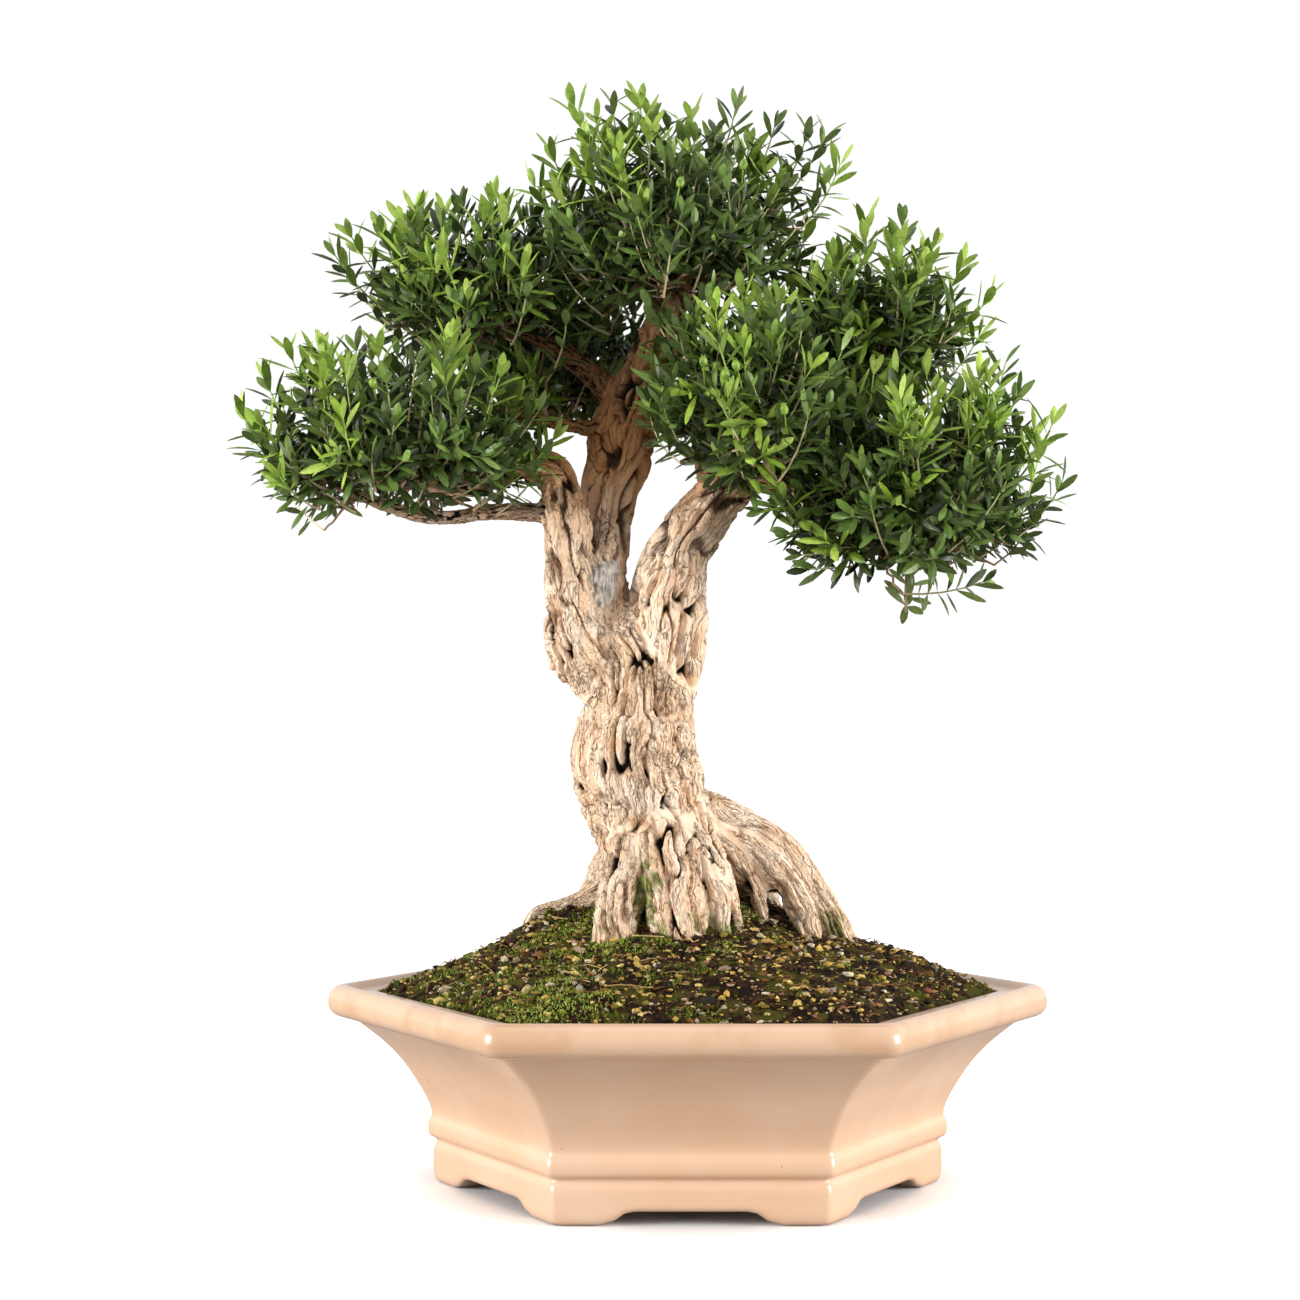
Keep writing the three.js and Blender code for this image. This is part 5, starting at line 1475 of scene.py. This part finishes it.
# %% [markdown]
# Damp soil is nearly black, with brown clods, and a green film of algae lies on it in places.

# %% Soil material
soil_material, tree, shader = new_material("damp_soil", Roughness=0.95, Specular_IOR_Level=SOIL_SHEEN)
colour = mottled(tree, paint("1A1009"), paint("3E2C1A"), 170.0, 0.45, 0.62)
colour = mottled(tree, colour, paint("474418"), 60.0, 0.5, 0.6)
feed(tree, shader, Base_Color=colour, Normal=grain_bump(tree, 700.0, mm(1.5), 0.9))
dress(soil_material, soil)
print("soil has", len(tree.nodes), "nodes")

# %% [markdown]
# An old boxwood leaf is dark and waxy, with a paler underside and midrib. New leaves at the tips of vigorous
# shoots are a bright yellow green. The stems are green near the tip and woody lower down.

# %% Leaf material
leaf_material, tree, shader = new_material("boxwood_leaf", Roughness=0.38, Specular_IOR_Level=0.4)
age, rib = number_of(tree, "age"), number_of(tree, "rib")
# Low tints give the darkest green, which goes to the leaves deep inside: partly their age, partly painted shade.
dark = ramp(tree, number_of(tree, "tint"), [(0.0, "181D0A"), (0.22, "394A1B"), (0.6, "5C7731"), (1.0, "809F4B")])
fresh = ramp(tree, number_of(tree, "tint"), [(0.0, "7E9C30"), (0.5, "98B740"), (1.0, "BAD262")])
colour = mixed(tree, ranged(tree, age, 0.05, 0.6), dark, fresh)
pale = mixed(tree, 0.28, colour, paint("92A864"))
colour = mixed(tree, ranged(tree, rib, 0.03, 0.06), pale, colour)
colour = mixed(tree, ranged(tree, rib, 0.84, 1.0, 0.0, 0.6), colour, pale)
colour = mottled(tree, colour, mixed(tree, 0.35, colour, paint("16240F")), 260.0, 0.45, 0.7)
stem = ramp(tree, age, [(0.0, "B8A27E"), (0.35, "AFA97C"), (0.8, "9DBE58")])
colour = mixed(tree, ranged(tree, rib, 1.4, 1.6), colour, stem)
feed(tree, shader, Base_Color=colour, Normal=grain_bump(tree, 1500.0, mm(0.2), 0.4))
dress(leaf_material, *[piece for piece, _ in foliage])
print("leaf has", len(tree.nodes), "nodes")

# %% [markdown]
# The pot's glaze is a warm cream with a soft gloss. It runs thin and a little darker over the rim, lies uneven, so
# that its highlights waver, and a few pinholes and specks show in it.

# %% Glaze material
glaze_material, tree, shader = new_material("cream_glaze", Roughness=0.26, Coat_Weight=0.28, Coat_Roughness=0.07)
colour = mottled(tree, paint("E3BFA1"), paint("DEB593"), 14.0, 0.3, 0.7)
specks = node(tree, "TexVoronoi", {"Vector": place_on(tree), "Scale": 90.0}).outputs
few = node(tree, "SeparateColor", {0: specks["Color"]}).outputs[0]
share = times(tree, ranged(tree, specks["Distance"], 0.04, 0.075, 1.0, 0.0), ranged(tree, few, 0.86, 0.9, 0.0, 0.8))
colour = mixed(tree, share, colour, paint("8C6444"))
thin_glaze = mottled(tree, paint("D6B191"), paint("CDA482"), 20.0)
colour = mixed(tree, ranged(tree, height_on(tree), 0.116, 0.128), colour, thin_glaze)
feed(tree, shader, Base_Color=colour, Normal=grain_bump(tree, 22.0, mm(0.6), 0.25))
dress(glaze_material, pot)
print("glaze has", len(tree.nodes), "nodes")

# %% [markdown]
# A product photographer stands the tree on white and lights it softly: a large soft box low at each side, a weaker
# one above, and a bright wall behind. The wall is brighter to the camera than to the tree, which keeps its shading.
# The floor gives off light of its own outside the pot's feet, so that only a narrow shadow stays round them.

# %% Floor and wall
FLOOR_SIZE = 30
WALL_SHOWN, WALL_LIGHT = 1.05, 0.5
PAPER_BOUNCE = 0.32
WHITE = (1, 1, 1, 1)

bpy.ops.mesh.primitive_plane_add(size=FLOOR_SIZE, location=(POT[0], POT[1], -mm(0.2)))
floor = bpy.context.object
floor.name = "floor"
floor_material, tree, shader = new_material("white_sweep", Roughness=0.7, Emission_Color=WHITE)
seen = node(tree, "LightPath").outputs["Is Camera Ray"]
shown = mottled(tree, paint("F6F6F7"), paint("F3F3F5"), 3.0)
paper = mixed(tree, seen, (PAPER_BOUNCE, PAPER_BOUNCE, PAPER_BOUNCE, 1), shown)
from_pot = node(tree, "VectorMath", {0: place_on(tree)}, operation="LENGTH").outputs["Value"]
glow = times(tree, seen, ranged(tree, from_pot, 0.15, 0.26, 0.0, 0.8))
feed(tree, shader, Base_Color=paper, Emission_Strength=glow)
dress(floor_material, floor)

world = bpy.data.worlds.new("white_wall")
world.use_nodes = True
scene.world = world
backdrop = world.node_tree.nodes["Background"]
lighting = node(world.node_tree, "LightPath").outputs["Is Diffuse Ray"]
strength = node(world.node_tree, "Mix", {0: lighting, 2: WALL_SHOWN, 3: WALL_LIGHT}, data_type="FLOAT").outputs[0]
world.node_tree.links.new(strength, backdrop.inputs["Strength"])
backdrop.inputs["Color"].default_value = WHITE
print("floor and wall are in place")

# %% [markdown]
# The soft boxes are square lights that face the middle of the tree. The two at the sides do most of the work.

# %% Soft boxes
AIM = mm(0, 0, 350)


def soft_box(name, place, size, power):
    """A square soft light that faces the middle of the tree."""
    data = bpy.data.lights.new(name, "AREA")
    data.size, data.energy = size, power
    light = bpy.data.objects.new(name, data)
    light.location = Vector(POT) + Vector(place)
    aim = Vector(POT) + Vector(AIM) - light.location
    light.rotation_euler = aim.to_track_quat("-Z", "Y").to_euler()
    scene.collection.objects.link(light)


soft_box("left_box", (-2.4, -1.05, 0.55), 1.3, 86)
soft_box("right_box", (2.4, -0.95, 0.55), 1.3, 88)
soft_box("top_box", (-0.1, -0.7, 2.3), 1.6, 7)
scene.view_settings.view_transform = "Standard"

# %% [markdown]
# Last, every piece is put on the frame's root body. A table lists beside it the finish of the record that it takes
# and the nodes that it stands for, whose solids are hidden.

# %% Tie the pieces to the frame
TIES = [
    (wood, "bark", ["trunk_and_branches"]),
    (twigs, "bark", []),
    (pot, "glaze", ["pot"]),
    (soil, "soil", ["soil"]),
    (grit, "soil", []),
    (straw, "soil", []),
    (moss_carpet, "soil", []),
    (capsules, "leaf", []),
    *[(piece, "leaf", [node_name]) for piece, node_name in foliage],
]
for piece, slot_name, node_names in TIES:
    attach(piece, "root")
    if node_names:
        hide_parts(*node_names)

total = sum(triangles(piece) for piece, _, _ in TIES)
print("the pieces have", total, "triangles in all")
